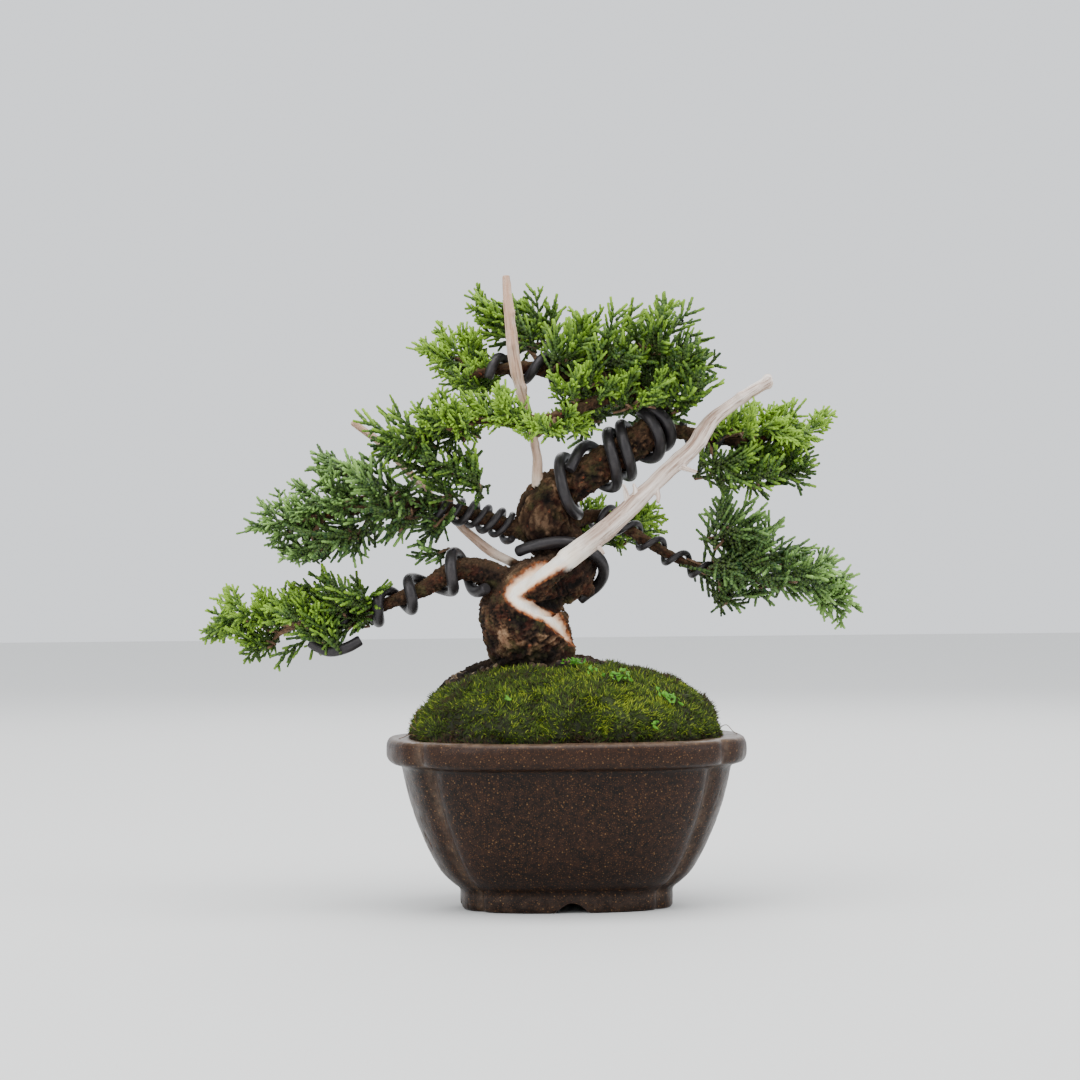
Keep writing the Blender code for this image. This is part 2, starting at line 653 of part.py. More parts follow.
def meets(room, pad):
    """Whether any of a wire's room lies in or near a foliage pad."""
    (x, y, z), half = pad[0], pad[1]
    middle = Vector((x, y, z + COLLAR))
    for vert in room.data.vertices:
        off = vert.co / MM - middle
        if sum((off[i] / half[i]) ** 2 for i in range(3)) < 1.6:
            return True
    return False


def build_pad(name, centre, half, turn, tilt, front, cutters):
    """A foliage pad: a lumpy flattened ball, fuller above than below."""
    bm = bmesh.new()
    bmesh.ops.create_uvsphere(bm, u_segments=PAD_SEGMENTS, v_segments=PAD_RINGS, radius=1)
    for vert in bm.verts:
        x, y, z = vert.co
        lump = 1 + PAD_LUMP * math.sin(4 * x + centre[0]) * math.cos(5 * y + 3 * z)
        vert.co = Vector((x * half[0], y * half[1], z * half[2])) * lump
    spin = Matrix.Rotation(math.radians(turn), 4, "Z") @ Matrix.Rotation(math.radians(tilt), 4, "Y")
    place = Matrix.Translation((centre[0], centre[1], centre[2] + COLLAR))
    bmesh.ops.transform(bm, matrix=place @ spin, verts=bm.verts)
    pad = add(name, mesh_from(name, bm), "foliage")
    pad.parent = front
    for cutter in cutters:
        boolean(pad, cutter, "DIFFERENCE")


def stand_on_origin(root):
    """Moves the whole model so that the middle of its lowest level is the origin."""
    bpy.context.view_layer.update()
    graph = bpy.context.evaluated_depsgraph_get()
    corners = []
    for obj in bpy.data.objects:
        if obj.hide_render or obj.type == "EMPTY":
            continue
        shape = obj.evaluated_get(graph)
        corners += [shape.matrix_world @ v.co for v in shape.to_mesh().vertices]
        shape.to_mesh_clear()
    low = [min(c[i] for c in corners) for i in range(3)]
    high = [max(c[i] for c in corners) for i in range(3)]
    root.location = (-(low[0] + high[0]) / 2, -(low[1] + high[1]) / 2, -low[2])


def main():
    for old in list(bpy.data.objects):
        bpy.data.objects.remove(old)
    root = add("whole_model", None)
    front = add("tree_front", None)
    front.rotation_euler = (0, 0, TREE_TURN)
    tree_limbs = limbs()
    sleeve = joined_limbs("cut_limbs", tree_limbs, front, extra=CUT_GAP, cutter=True)
    build_tree(tree_limbs, front)
    rooms = build_wires(tree_limbs, front)
    for name, pad in PADS.items():
        build_pad(name, *pad, front, [sleeve, *(r for r in rooms if meets(r, pad))])
    build_pot()
    screens = []
    for side, x in (("left", -DRAIN_SPACING / 2), ("right", DRAIN_SPACING / 2)):
        build_screen(f"drain_screen_{side}", x)
        build_clip(f"screen_clip_{side}", x)
        screens.append(screen_cutter(f"cut_soil_{side}", x))
    tie = tie_line()
    tube("tie_wire", tie, [TIE_WIRE / 2] * len(tie), TWIG_ROUNDNESS, "anodised_wire")
    tie_cutter = as_mesh(tube("cut_tie", tie, [TIE_WIRE / 2] * len(tie), TWIG_ROUNDNESS,
                              extra=CUT_GAP, cutter=True))
    build_soil([sleeve, tie_cutter, *screens])
    build_moss([sleeve])
    for obj in bpy.data.objects:
        if obj.parent is None and obj is not root:
            obj.parent = root
    stand_on_origin(root)


main()
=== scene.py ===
# %% [markdown]
# # A juniper bonsai in a stoneware pot
#
# This lesson dresses a CAD model of a small potted bonsai. The CAD gives every piece its place
# and size. Here each piece gets its real surface: speckled clay, flaking bark, bare silvery
# wood, scale leaves and a cushion of moss. Lengths are in millimetres until a mesh is made.

import math

import bmesh
import bpy
import numpy as np
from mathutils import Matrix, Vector
from mathutils.kdtree import KDTree


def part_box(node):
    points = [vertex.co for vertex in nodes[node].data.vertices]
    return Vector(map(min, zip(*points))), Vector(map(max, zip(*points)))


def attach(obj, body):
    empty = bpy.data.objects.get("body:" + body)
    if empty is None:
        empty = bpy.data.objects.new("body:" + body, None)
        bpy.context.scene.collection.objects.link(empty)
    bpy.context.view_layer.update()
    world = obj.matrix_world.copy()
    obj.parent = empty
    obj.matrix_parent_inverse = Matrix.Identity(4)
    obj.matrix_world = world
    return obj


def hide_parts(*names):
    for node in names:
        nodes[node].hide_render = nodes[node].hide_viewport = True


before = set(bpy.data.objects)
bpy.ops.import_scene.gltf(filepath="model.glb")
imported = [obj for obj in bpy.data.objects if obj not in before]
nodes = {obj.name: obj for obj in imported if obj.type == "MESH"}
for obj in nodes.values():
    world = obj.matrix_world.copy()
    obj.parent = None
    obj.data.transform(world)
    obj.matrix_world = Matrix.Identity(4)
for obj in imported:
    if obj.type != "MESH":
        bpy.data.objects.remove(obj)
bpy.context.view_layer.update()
rng = np.random.default_rng(7)
print("CAD nodes:", len(nodes))

# %% [markdown]
# A bonsai is potted by eye, so the tree doesn't stand square in its pot: it is turned a few
# degrees. Every point could be typed in the frame's own metres, but it is easier to think of the
# pot from its own middle and of the tree before its turn, in millimetres. Two helpers take such
# points to the frame.

# %% Where the pot and the tree stand
MM = 0.001
TREE_TURN = math.radians(-4)
COLLAR = 81.5  # height of the moss at the trunk's foot, where the tree's own heights start

pot_box = np.array([list(c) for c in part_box("pot")])
pot_middle = (pot_box.min(axis=0) + pot_box.max(axis=0)) / 2
pot_middle[2] = pot_box[:, 2].min()
turn = np.array([
    [math.cos(TREE_TURN), -math.sin(TREE_TURN), 0],
    [math.sin(TREE_TURN), math.cos(TREE_TURN), 0],
    [0, 0, 1],
])


def to_frame(points):
    """Pot millimetres to frame metres."""
    return np.asarray(points, float) * MM + pot_middle


def tree_to_frame(points):
    """Tree millimetres, before its turn, to frame metres."""
    return to_frame(np.asarray(points, float) @ turn.T)


print("pot middle (mm):", np.round(pot_middle * 1000, 2))

# %% [markdown]
# ## Tools
# Nothing on a real tree is even, so nearly every surface here is pushed about by noise. Blender's
# noise could be asked for one point at a time, but several hundred thousand points need it, so
# this value noise takes whole arrays. It also gives the same answer on every run.

# %% Steady noise
def lattice(cells, seed):
    """A steady pseudo-random value from -1 to 1 for each whole-number cell."""
    cells = cells.astype(np.int64)
    h = cells[..., 0] * 374761393 + cells[..., 1] * 668265263 + cells[..., 2] * 2147483647
    h = (h + seed * 1274126177) & 0xFFFFFFFF
    h = ((h ^ (h >> 13)) * 1274126177) & 0xFFFFFFFF
    h = ((h ^ (h >> 16)) * 2246822519) & 0xFFFFFFFF
    return (h ^ (h >> 15)) / 0x7FFFFFFF - 1.0


def noise(points, scale=1.0, seed=0, octaves=1):
    """Smooth noise from about -1 to 1, with features about `scale` apart."""
    total = np.zeros(len(points))
    size, weight, whole = scale, 1.0, 0.0
    for octave in range(octaves):
        p = points / size + 31.7 * octave
        cell = np.floor(p)
        f = p - cell
        f = f * f * (3 - 2 * f)
        value = 0.0
        for corner in range(8):
            step = np.array([corner & 1, corner >> 1 & 1, corner >> 2 & 1])
            share = np.prod(np.where(step, f, 1 - f), axis=-1)
            value = value + share * lattice(cell + step, seed + octave)
        total += weight * value
        whole += weight
        size, weight = size / 2, weight * 0.5
    return total / whole


def smoothstep(low, high, x):
    """A soft step from 0 at `low` to 1 at `high`. It falls where `low` is the larger."""
    t = np.clip((x - low) / (high - low), 0, 1)
    return t * t * (3 - 2 * t)


print("noise check:", np.round(noise(np.array([[0.3, 1.2, 5.0]]), 1, 3, 3), 4))

# %% [markdown]
# Trunk, branches, roots, twigs and wires are all long round things. Each could be a Blender
# curve with a bevel, but the bark and the wires must know where a limb's middle is. So each is
# kept as rows of points: a smooth line, evenly spaced, with cross directions that don't twist.

# %% Smooth lines
def smooth_line(points, steps):
    """A smooth curve through the points; extra columns, such as a radius, go along."""
    p = np.asarray(points, float)
    p = np.vstack([2 * p[0] - p[1], p, 2 * p[-1] - p[-2]])
    t = np.arange(steps)[:, None] / steps
    out = []
    for a, b, c, d in zip(p, p[1:], p[2:], p[3:]):
        out.append(0.5 * (2 * b + (c - a) * t + (2 * a - 5 * b + 4 * c - d) * t * t
                          + (3 * b - a - 3 * c + d) * t ** 3))
    return np.vstack([*out, p[-2]])


def evenly(line, spacing):
    """The same line with points `spacing` apart."""
    along = np.concatenate([[0], np.cumsum(np.linalg.norm(np.diff(line[:, :3], axis=0), axis=1))])
    count = max(2, int(round(along[-1] / spacing)) + 1)
    wanted = np.linspace(0, along[-1], count)
    return np.stack([np.interp(wanted, along, line[:, i]) for i in range(line.shape[1])], axis=1)


def unit(v):
    """The same directions, one long."""
    return v / np.maximum(np.linalg.norm(v, axis=-1, keepdims=True), 1e-9)


def frames(line):
    """Tangents and two cross directions along a line, turning as little as possible."""
    tangents = unit(np.gradient(line[:, :3], axis=0))
    first = np.array([0, 0, 1.0]) - tangents[0] * tangents[0][2]
    if np.linalg.norm(first) < 0.05:
        first = np.array([0, -1.0, 0])
    ups = []
    for tangent in tangents:
        first = unit(first - tangent * first.dot(tangent))
        ups.append(first)
    ups = np.array(ups)
    return tangents, ups, np.cross(tangents, ups)


corner_line = smooth_line([(0, 0, 0), (9, 0, 0), (9, 9, 0)], 4)
print("a corner of 3 points, smoothed:", len(corner_line), "points")

# %% [markdown]
# Adding vertices one at a time is slow, and foliage needs hundreds of thousands. `make_mesh`
# hands Blender whole arrays instead. `sweep` draws rings along a line, and `joined` and
# `repeated` make one mesh of many pieces, which costs far less than many objects.

# %% Meshes from arrays
def make_mesh(name, verts, faces, attributes=None):
    """An object from arrays in frame metres. Faces all have the same number of corners."""
    data = bpy.data.meshes.new(name)
    verts = np.asarray(verts, np.float32)
    faces = np.asarray(faces, np.int32)
    corners = faces.shape[1]
    data.vertices.add(len(verts))
    data.vertices.foreach_set("co", verts.ravel())
    data.loops.add(faces.size)
    data.loops.foreach_set("vertex_index", faces.ravel())
    data.polygons.add(len(faces))
    data.polygons.foreach_set("loop_start", np.arange(len(faces), dtype=np.int32) * corners)
    data.polygons.foreach_set("loop_total", np.full(len(faces), corners, np.int32))
    data.update(calc_edges=True)
    data.validate()
    data.polygons.foreach_set("use_smooth", np.full(len(data.polygons), True))
    for key, values in (attributes or {}).items():
        layer = data.attributes.new(key, "FLOAT", "POINT")
        layer.data.foreach_set("value", np.asarray(values, np.float32))
    made = bpy.data.objects.new(name, data)
    bpy.context.scene.collection.objects.link(made)
    return made


print("mesh maker ready")

# %% Rings and tubes
def grid_faces(rows, around):
    """Quads between rings of points."""
    i, j = np.meshgrid(np.arange(rows - 1), np.arange(around), indexing="ij")
    k = (j + 1) % around
    ring, above = i * around, (i + 1) * around
    return np.stack([ring + j, ring + k, above + k, above + j], axis=-1).reshape(-1, 4)


def sweep(line, around):
    """Rings round a line of (x, y, z, radius), with its caps as extra rings at the ends."""
    _, ups, sides = frames(line)
    angles = (np.arange(around) * 2 * math.pi / around)[None, :, None]
    ring = ups[:, None] * np.cos(angles) + sides[:, None] * np.sin(angles)
    points = line[:, None, :3] + ring * line[:, 3][:, None, None]
    first = np.repeat(line[:1, None, :3], around, axis=1)
    last = np.repeat(line[-1:, None, :3], around, axis=1)
    points = np.concatenate([first, points, last])
    return points.reshape(-1, 3), grid_faces(len(points), around)


def joined(parts, part_faces):
    """Points and faces of many pieces as one: each piece's faces count on from the last."""
    starts = np.cumsum([0] + [len(part) for part in parts[:-1]])
    return np.concatenate(parts), np.concatenate([f + n for f, n in zip(part_faces, starts)])


def repeated(faces, points_each, count):
    """The faces of `count` copies of a small shape that has `points_each` points."""
    starts = (np.arange(count) * points_each)[:, None, None]
    return (faces[None] + starts).reshape(-1, faces.shape[1])


print("faces of a tube of 4 rings of 6:", len(grid_faces(4, 6)))

# %% [markdown]
# A made mesh is often changed afterwards: its points are read, pushed and put back, and what is
# known about each point, such as whether it is bare wood, is written for the material to read.

# %% Reading and changing a mesh
def apply_modifiers(obj):
    """Bakes an object's modifiers into its mesh."""
    graph = bpy.context.evaluated_depsgraph_get()
    data = bpy.data.meshes.new_from_object(obj.evaluated_get(graph))
    obj.modifiers.clear()
    obj.data = data


def coords(data):
    """The points of a mesh as an array."""
    found = np.empty(len(data.vertices) * 3, np.float32)
    data.vertices.foreach_get("co", found)
    return found.reshape(-1, 3).astype(float)


def normals_of(data):
    """Which way the surface faces at each point."""
    found = np.empty(len(data.vertices) * 3, np.float32)
    data.vertices.foreach_get("normal", found)
    return found.reshape(-1, 3).astype(float)


def set_coords(data, points):
    data.vertices.foreach_set("co", np.asarray(points, np.float32).ravel())
    data.update()


def set_attribute(data, name, values):
    """One number for each point, which a material reads by name."""
    layer = data.attributes.get(name) or data.attributes.new(name, "FLOAT", "POINT")
    layer.data.foreach_set("value", np.asarray(values, np.float32))


def paint_map(made, across, upward):
    """The map that a picture of many small pieces is painted by, from 0 to 1 each way."""
    layer = made.data.uv_layers.new(name="OFBake")
    corner = np.empty(len(made.data.loops), np.int32)
    made.data.loops.foreach_get("vertex_index", corner)
    place = np.stack([across[corner], upward[corner]], axis=1).astype(np.float32)
    layer.data.foreach_set("uv", place.ravel())


print("mesh helpers ready")

# %% [markdown]
# ## Materials
# Fired clay, bark and moss all change colour from one millimetre to the next. Painted pictures
# could show that, but graphs of procedural textures keep their detail at any distance and need
# no files. `Graph` keeps the wiring short: each call adds a node, feeds it and returns its output.

# %% A short way to write a shader graph
class Graph:
    def __init__(self, name):
        self.material = bpy.data.materials.new(name)
        self.material.use_nodes = True
        self.tree = self.material.node_tree
        self.shader = self.tree.nodes["Principled BSDF"]
        self.place = self.add("ShaderNodeTexCoord").outputs["Object"]

    def add(self, kind, **inputs):
        """A node with its inputs fed: an underscore in an input's name stands for a space."""
        node = self.tree.nodes.new(kind)
        for key, value in inputs.items():
            self.feed(node.inputs[key.replace("_", " ")], value)
        return node

    def feed(self, socket, value):
        """Links another node's output to a socket, or sets the socket's own value."""
        if isinstance(value, bpy.types.NodeSocket):
            self.tree.links.new(value, socket)
        elif isinstance(value, (tuple, list)) and len(value) == 3 and socket.type == "RGBA":
            socket.default_value = (*value, 1)
        else:
            socket.default_value = value

    def noise(self, size, detail=3.0, rough=0.55):
        """Noise whose features are about `size` millimetres across."""
        node = self.add("ShaderNodeTexNoise", Scale=1000 / size, Detail=detail, Roughness=rough)
        self.tree.links.new(self.place, node.inputs["Vector"])
        return node.outputs["Fac"]

    def cells(self, size):
        """Cells about `size` millimetres across, each with its distance and its own colour."""
        node = self.add("ShaderNodeTexVoronoi", Scale=1000 / size)
        self.tree.links.new(self.place, node.inputs["Vector"])
        return node

    def one_number(self, cell):
        """One steady random number from 0 to 1 for each whole cell."""
        return self.add("ShaderNodeSeparateColor", Color=cell.outputs["Color"]).outputs["Red"]

    def ramp(self, value, *stops):
        """A colour ramp from (position, colour) stops."""
        node = self.add("ShaderNodeValToRGB", Fac=value)
        items = node.color_ramp.elements
        while len(items) < len(stops):
            items.new(0.5)
        for item, (position, colour) in zip(items, stops):
            item.position = position
            item.color = (*colour, 1) if isinstance(colour, tuple) else (colour,) * 3 + (1,)
        return node.outputs["Color"]

    def mix(self, share, a, b):
        """Colour `a` where the share is 0 and `b` where it is 1."""
        node = self.tree.nodes.new("ShaderNodeMix")
        node.data_type = "RGBA"
        self.feed(node.inputs["Factor"], share)
        colours = [s for s in node.inputs if s.type == "RGBA"]
        self.feed(colours[0], a)
        self.feed(colours[1], b)
        return [s for s in node.outputs if s.type == "RGBA"][0]

    def math(self, operation, a, b):
        node = self.tree.nodes.new("ShaderNodeMath")
        node.operation = operation
        self.feed(node.inputs[0], a)
        self.feed(node.inputs[1], b)
        return node.outputs[0]

    def times(self, a, b):
        return self.math("MULTIPLY", a, b)

    def plus(self, a, b):
        return self.math("ADD", a, b)

    def attribute(self, name):
        """The number that `set_attribute` gave each point."""
        node = self.add("ShaderNodeAttribute")
        node.attribute_name = name
        return node.outputs["Fac"]

    def bump(self, height, strength, distance):
        """Fine relief, `distance` millimetres deep, on the shader's normal."""
        node = self.add("ShaderNodeBump", Height=height, Strength=strength, Distance=distance * MM)
        self.tree.links.new(node.outputs["Normal"], self.shader.inputs["Normal"])

    def surface(self, colour, roughness, **others):
        """Finishes the shader and gives the material."""
        self.feed(self.shader.inputs["Base Color"], colour)
        self.feed(self.shader.inputs["Roughness"], roughness)
        for key, value in others.items():
            self.feed(self.shader.inputs[key.replace("_", " ")], value)
        return self.material


print("graph helper ready")

# %% [markdown]
# Colours are typed as a screen shows them and turned into Blender's linear values once. `dress`
# does what every piece needs: its material, the body that it rides on, and the CAD nodes that it
# stands for.

# %% Colours, and dressing a piece
def rgb(red, green, blue):
    """Linear colour from 0-255 screen values."""
    return tuple((v / 255 / 12.92) if v <= 10 else ((v / 255 + 0.055) / 1.055) ** 2.4
                 for v in (red, green, blue))


def dress(obj, material, cad_slot, *replaced):
    """Gives a piece its material, its place on the body and the CAD nodes it stands for."""
    obj.data.materials.clear()
    obj.data.materials.append(material)
    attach(obj, "root")
    if replaced:
        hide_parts(*replaced)
    return obj


print("mid grey is", round(rgb(128, 128, 128)[0], 3), "in linear light")

# %% [markdown]
# ## The pot
# The real pot is pressed in a mould: a rounded oblong with four shallow notches, a rolled lip
# and a low foot. It could be modelled from a cube with bevels, but its wall keeps one section all
# the way round. So the section is drawn once, from the middle of the underside, out over the lip
# and down inside, and each of its points becomes a ring. `inset` is the distance inside the lip.

# %% Pot shape
POT_LENGTH, POT_DEPTH, POT_HEIGHT = 120.0, 97.0, 57.0
SQUARENESS = 2.6
NOTCH_TURN = math.radians(35)
AROUND = 440  # points on each ring
FLOOR_INSET = 48.5  # how far inside the lip the flat floor is closed


def lobed(inset, notch, count=AROUND):
    """The x and y of one ring, and how deep in a notch each point is."""
    t = np.arange(count) * 2 * math.pi / count
    c, s = np.cos(t), np.sin(t)
    x = (POT_LENGTH / 2 - inset) * np.sign(c) * np.abs(c) ** (2 / SQUARENESS)
    y = (POT_DEPTH / 2 - inset) * np.sign(s) * np.abs(s) ** (2 / SQUARENESS)
    notches = (NOTCH_TURN, math.pi - NOTCH_TURN, math.pi + NOTCH_TURN, -NOTCH_TURN)
    off = np.min([np.abs((t - n + math.pi) % (2 * math.pi) - math.pi) for n in notches], axis=0)
    crease = np.exp(-(off / math.radians(5.0)) ** 1.5)
    keep = 1 - notch * crease / np.maximum(np.hypot(x, y), 1)
    return x * keep, y * keep, crease


print("notch depth of 2 takes the wall in by", round(float(2 * lobed(0, 2)[2].max()), 2))

# %% Pot wall
POT_PROFILE = [  # inset, height, notch depth
    (48.5, 4.2, 0), (40, 4.2, 0.4), (30.5, 4.2, 1.6), (29.7, 3.6, 1.8), (29.4, 1.2, 1.8),
    (28.8, 0.25, 1.8), (27.5, 0, 1.8), (25.8, 0, 1.8), (24.8, 0.35, 1.8), (24.4, 1.4, 1.8),
    (24.3, 4.2, 1.8), (24.4, 5.6, 1.8), (24.1, 6.5, 1.9), (23.2, 7.4, 2.0), (21.6, 8.6, 2.0),
    (18.6, 11.6, 2.0), (16.3, 15.2, 2.0), (13.6, 20.4, 2.0), (11.4, 25.5, 2.0),
    (9.3, 31.0, 2.0), (7.6, 36.6, 2.0), (6.2, 42.2, 2.0), (5.5, 45.6, 2.0), (5.2, 47.0, 2.0),
    (4.6, 47.9, 2.0), (3.2, 48.4, 2.1), (1.5, 48.9, 2.2), (0.5, 49.9, 2.3), (0.05, 51.4, 2.3),
    (0.0, 53.6, 2.3), (0.25, 55.3, 2.3), (1.0, 56.5, 2.3), (2.4, 57.0, 2.2), (6.6, 56.9, 2.1),
    (8.4, 56.5, 2.0), (9.3, 55.4, 1.9), (9.6, 53.0, 1.8), (10.2, 46.0, 1.6), (13.0, 33.0, 1.4),
    (18.0, 21.0, 1.2), (24.0, 12.5, 1.0), (28.0, 9.6, 0.8), (33.0, 9.2, 0.4), (48.5, 9.2, 0),
]
profile = evenly(smooth_line(POT_PROFILE, 6), 0.9)
profile[:, 0] = np.clip(profile[:, 0], 0, FLOOR_INSET)
rings = []
for inset, height, notch in profile:
    x, y, _ = lobed(inset, notch if inset < FLOOR_INSET - 1.5 else 0)
    rings.append(np.stack([x, y, np.full(AROUND, height)], axis=1))
shell = np.concatenate(rings)
pot = make_mesh("pot_body", shell, grid_faces(len(rings), AROUND))
print("pot rings:", len(rings), "points:", len(shell))

# %% [markdown]
# Clay shrinks and slumps a little in the kiln, so the wall is never quite even, and small pits
# open where grit falls out. Sculpting could give that too. Noise of three sizes does it here,
# pushed along the surface, and it fades at the very bottom so that the foot still stands flat.

# %% Unevenness
shell = coords(pot.data)
outward = normals_of(pot.data)
if outward[len(shell) // 3].dot(shell[len(shell) // 3] * [1, 1, 0]) < 0:
    pot.data.flip_normals()
    outward = normals_of(pot.data)
slump = 0.35 * noise(shell, 26, 1, 2) + 0.10 * noise(shell, 5, 2, 3) + 0.05 * noise(shell, 1.6, 4, 2)
pits = np.clip(noise(shell, 1.9, 3, 1) - 0.62, 0, 1) * 0.9
scrape = 0.07 * noise(shell * [0.12, 0.12, 1.6], 1.0, 9, 2) * smoothstep(8, 14, shell[:, 2])
shell = shell + outward * ((slump - pits + scrape) * smoothstep(0.0, 1.5, shell[:, 2]))[:, None]
shell[:, 2] = np.maximum(shell[:, 2], 0)
set_coords(pot.data, shell * MM)
print("wall pushed by up to", round(float(np.abs(slump - pits + scrape).max()), 2), "mm")

# %% [markdown]
# The foot has a low arch on each side, which lets water out and air in. The floor has two drain
# holes and two small holes for the wire that ties the tree down. They could be left out of the
# rings, but cutting them with Booleans keeps the wall's section simple.

# %% Arches and holes
def prism(name, outline, low, high, axis):
    """A straight cutter with the outline (u, v) run from low to high along an axis."""
    ends = []
    for level in (low, high):
        for u, v in outline:
            ends.append({"x": (level, u, v), "y": (u, level, v), "z": (u, v, level)}[axis])
    n = len(outline)
    data = bpy.data.meshes.new(name)
    sides = [(i, (i + 1) % n, n + (i + 1) % n, n + i) for i in range(n)]
    caps = [tuple(range(n))[::-1], tuple(range(n, 2 * n))]
    data.from_pydata([Vector(e) * MM for e in ends], [], [*sides, *caps])
    made = bpy.data.objects.new(name, data)
    bpy.context.scene.collection.objects.link(made)
    bm = bmesh.new()
    bm.from_mesh(data)
    bmesh.ops.recalc_face_normals(bm, faces=bm.faces)
    bm.to_mesh(data)
    bm.free()
    made.hide_render = True
    return made


ARCH_HALF, ARCH_HEIGHT = 6.4, 3.4
FLOOR_HOLES = ((-15, 0, 6), (15, 0, 6), (0, -9, 1.6), (0, 9, 1.6))  # x, y, radius
bell = [(u * ARCH_HALF, 0.02 + ARCH_HEIGHT * math.cos(u * math.pi / 2) ** 1.35)
        for u in np.linspace(-1, 1, 33)]
bell = [(-ARCH_HALF, -2), *bell, (ARCH_HALF, -2)]
turns = np.linspace(0, 2 * math.pi, 40, endpoint=False)
cutters = [prism("cut_arch_front", bell, -70, 70, "y"), prism("cut_arch_side", bell, -80, 80, "x")]
for x, y, radius in FLOOR_HOLES:
    circle = [(x + radius * math.cos(a), y + radius * math.sin(a)) for a in turns]
    cutters.append(prism("cut_hole", circle, 1, 14, "z"))
print("cutters:", len(cutters))

# %% Cut the pot
weld = bmesh.new()
weld.from_mesh(pot.data)
bmesh.ops.remove_doubles(weld, verts=weld.verts, dist=1e-6)
bmesh.ops.recalc_face_normals(weld, faces=weld.faces)
weld.to_mesh(pot.data)
weld.free()
for cutter in cutters:
    step = pot.modifiers.new(cutter.name, "BOOLEAN")
    step.operation = "DIFFERENCE"
    step.object = cutter
    step.solver = "EXACT"
apply_modifiers(pot)
for cutter in cutters:
    bpy.data.objects.remove(cutter)
shell = coords(pot.data) / MM
pot.data.polygons.foreach_set("use_smooth", np.full(len(pot.data.polygons), True))
pot.data.set_sharp_from_angle(angle=math.radians(50))

# How near a notch each point is, for the dust that gathers there and the highlight painted along
# it. The notches lean: they lie at a wider bearing at the lip than at the foot.
bearing = np.arctan2(np.abs(shell[:, 1]), np.abs(shell[:, 0]))
reach = np.hypot(shell[:, 0], shell[:, 1])
notch_bearing = np.radians(np.interp(reach, [34, 60], [27.1, 31.6]))
set_attribute(pot.data, "crease", np.exp(-((bearing - notch_bearing) / math.radians(2.2)) ** 2))
set_coords(pot.data, to_frame(shell))
print("pot after cuts:", len(pot.data.vertices), "points, height", round(shell[:, 2].max(), 2))

# %% [markdown]
# The clay is unglazed, dark brown, fired to a dull sheen and full of fine tan specks. The lip is
# paler, where hands and water wear it, and mineral dust gathers on its top and on the foot. The
# tones could be painted on, but they all follow height, so ramps on height place them. Voronoi
# cells of four sizes give the specks, and about half the cells are left out so none line up. Light
# and shade are painted in as well: the lower belly is darkened as painted shade, a dark band under
# the lip is a painted shadow, and the pale top of the lip and the pale streaks down the notches are
# partly dust and partly painted highlight.

# %% Stoneware
g = Graph("stoneware")
height = g.add("ShaderNodeSeparateXYZ", Vector=g.place).outputs["Z"]
level = g.times(height, 1000.0 / POT_HEIGHT)
body = g.ramp(g.noise(16, 4), (0.30, rgb(8, 3, 2)), (0.52, rgb(16, 7, 4)), (0.75, rgb(29, 14, 9)))
body = g.mix(g.ramp(g.noise(2.0, 5, 0.7), (0.40, 0.0), (0.72, 0.7)), body, rgb(56, 34, 21))
# Painted shade: the lower belly, where the wall turns under towards the foot, is darkened.
body = g.mix(g.ramp(level, (0.10, 0.6), (0.36, 0.0)), body, rgb(9, 5, 4))
# Painted shadow: a dark band just under the rolled lip.
body = g.mix(g.ramp(level, (0.80, 0.0), (0.83, 0.8), (0.87, 0.0)), body, rgb(10, 6, 5))
body = g.mix(g.ramp(level, (0.86, 0.0), (0.90, 0.30)), body, rgb(58, 38, 27))
dust_and_highlight = g.ramp(g.noise(3.4, 5, 0.7), (0.42, 0.12), (0.72, 0.9))
# The top of the lip is paler: partly mineral dust and partly a painted highlight where light falls on
# it.
lip_dust_and_highlight = g.times(g.ramp(level, (0.978, 0.0), (0.994, 0.85)), g.plus(dust_and_highlight, 0.15))
body = g.mix(lip_dust_and_highlight, body, rgb(112, 92, 76))
foot_dust = g.times(g.ramp(level, (0.09, 1.0), (0.125, 0.0)), dust_and_highlight)
body = g.mix(g.times(foot_dust, 0.7), body, rgb(74, 57, 46))
SPECKS = (  # spacing, radius as a share of it, colour, strength
    (0.70, 0.15, rgb(112, 74, 42), 0.50),
    (1.4, 0.07, rgb(140, 104, 66), 0.6),
    (0.45, 0.18, rgb(88, 54, 30), 0.5),
    (1.0, 0.10, rgb(96, 62, 36), 0.5),
)
for size, speck_edge, colour, amount in SPECKS:
    cell = g.cells(size)
    chosen = g.math("GREATER_THAN", g.one_number(cell), 0.45)
    speck = g.ramp(cell.outputs["Distance"], (speck_edge, 1.0), (speck_edge + 0.16, 0.0))
    body = g.mix(g.times(g.times(speck, chosen), amount), body, colour)
# Pale streaks down the notches: partly dust and partly a painted highlight along the crease.
body = g.mix(g.times(g.attribute("crease"), g.times(dust_and_highlight, 0.6)), body, rgb(110, 92, 76))
shine = g.ramp(g.noise(5, 4, 0.6), (0.3, 0.30), (0.7, 0.46))
g.bump(g.plus(g.noise(0.7, 3, 0.6), g.times(g.noise(2.2, 3), 0.8)), 0.5, 0.16)
dress(pot, g.surface(body, shine, Specular_IOR_Level=0.17), "stoneware", "pot")
print("pot dressed, kinds of speck:", len(SPECKS))

# %% [markdown]
# ## The tree's skeleton
# The trunk was bent with wire while it was young, so it doubles back on itself twice. Three of
# the limbs are jins: dead branches stripped of bark and left to bleach. A tree could be grown by
# rule, but this one has to bend exactly where it does, so each limb is typed as a line of points:
# x, y, height above the moss and radius.

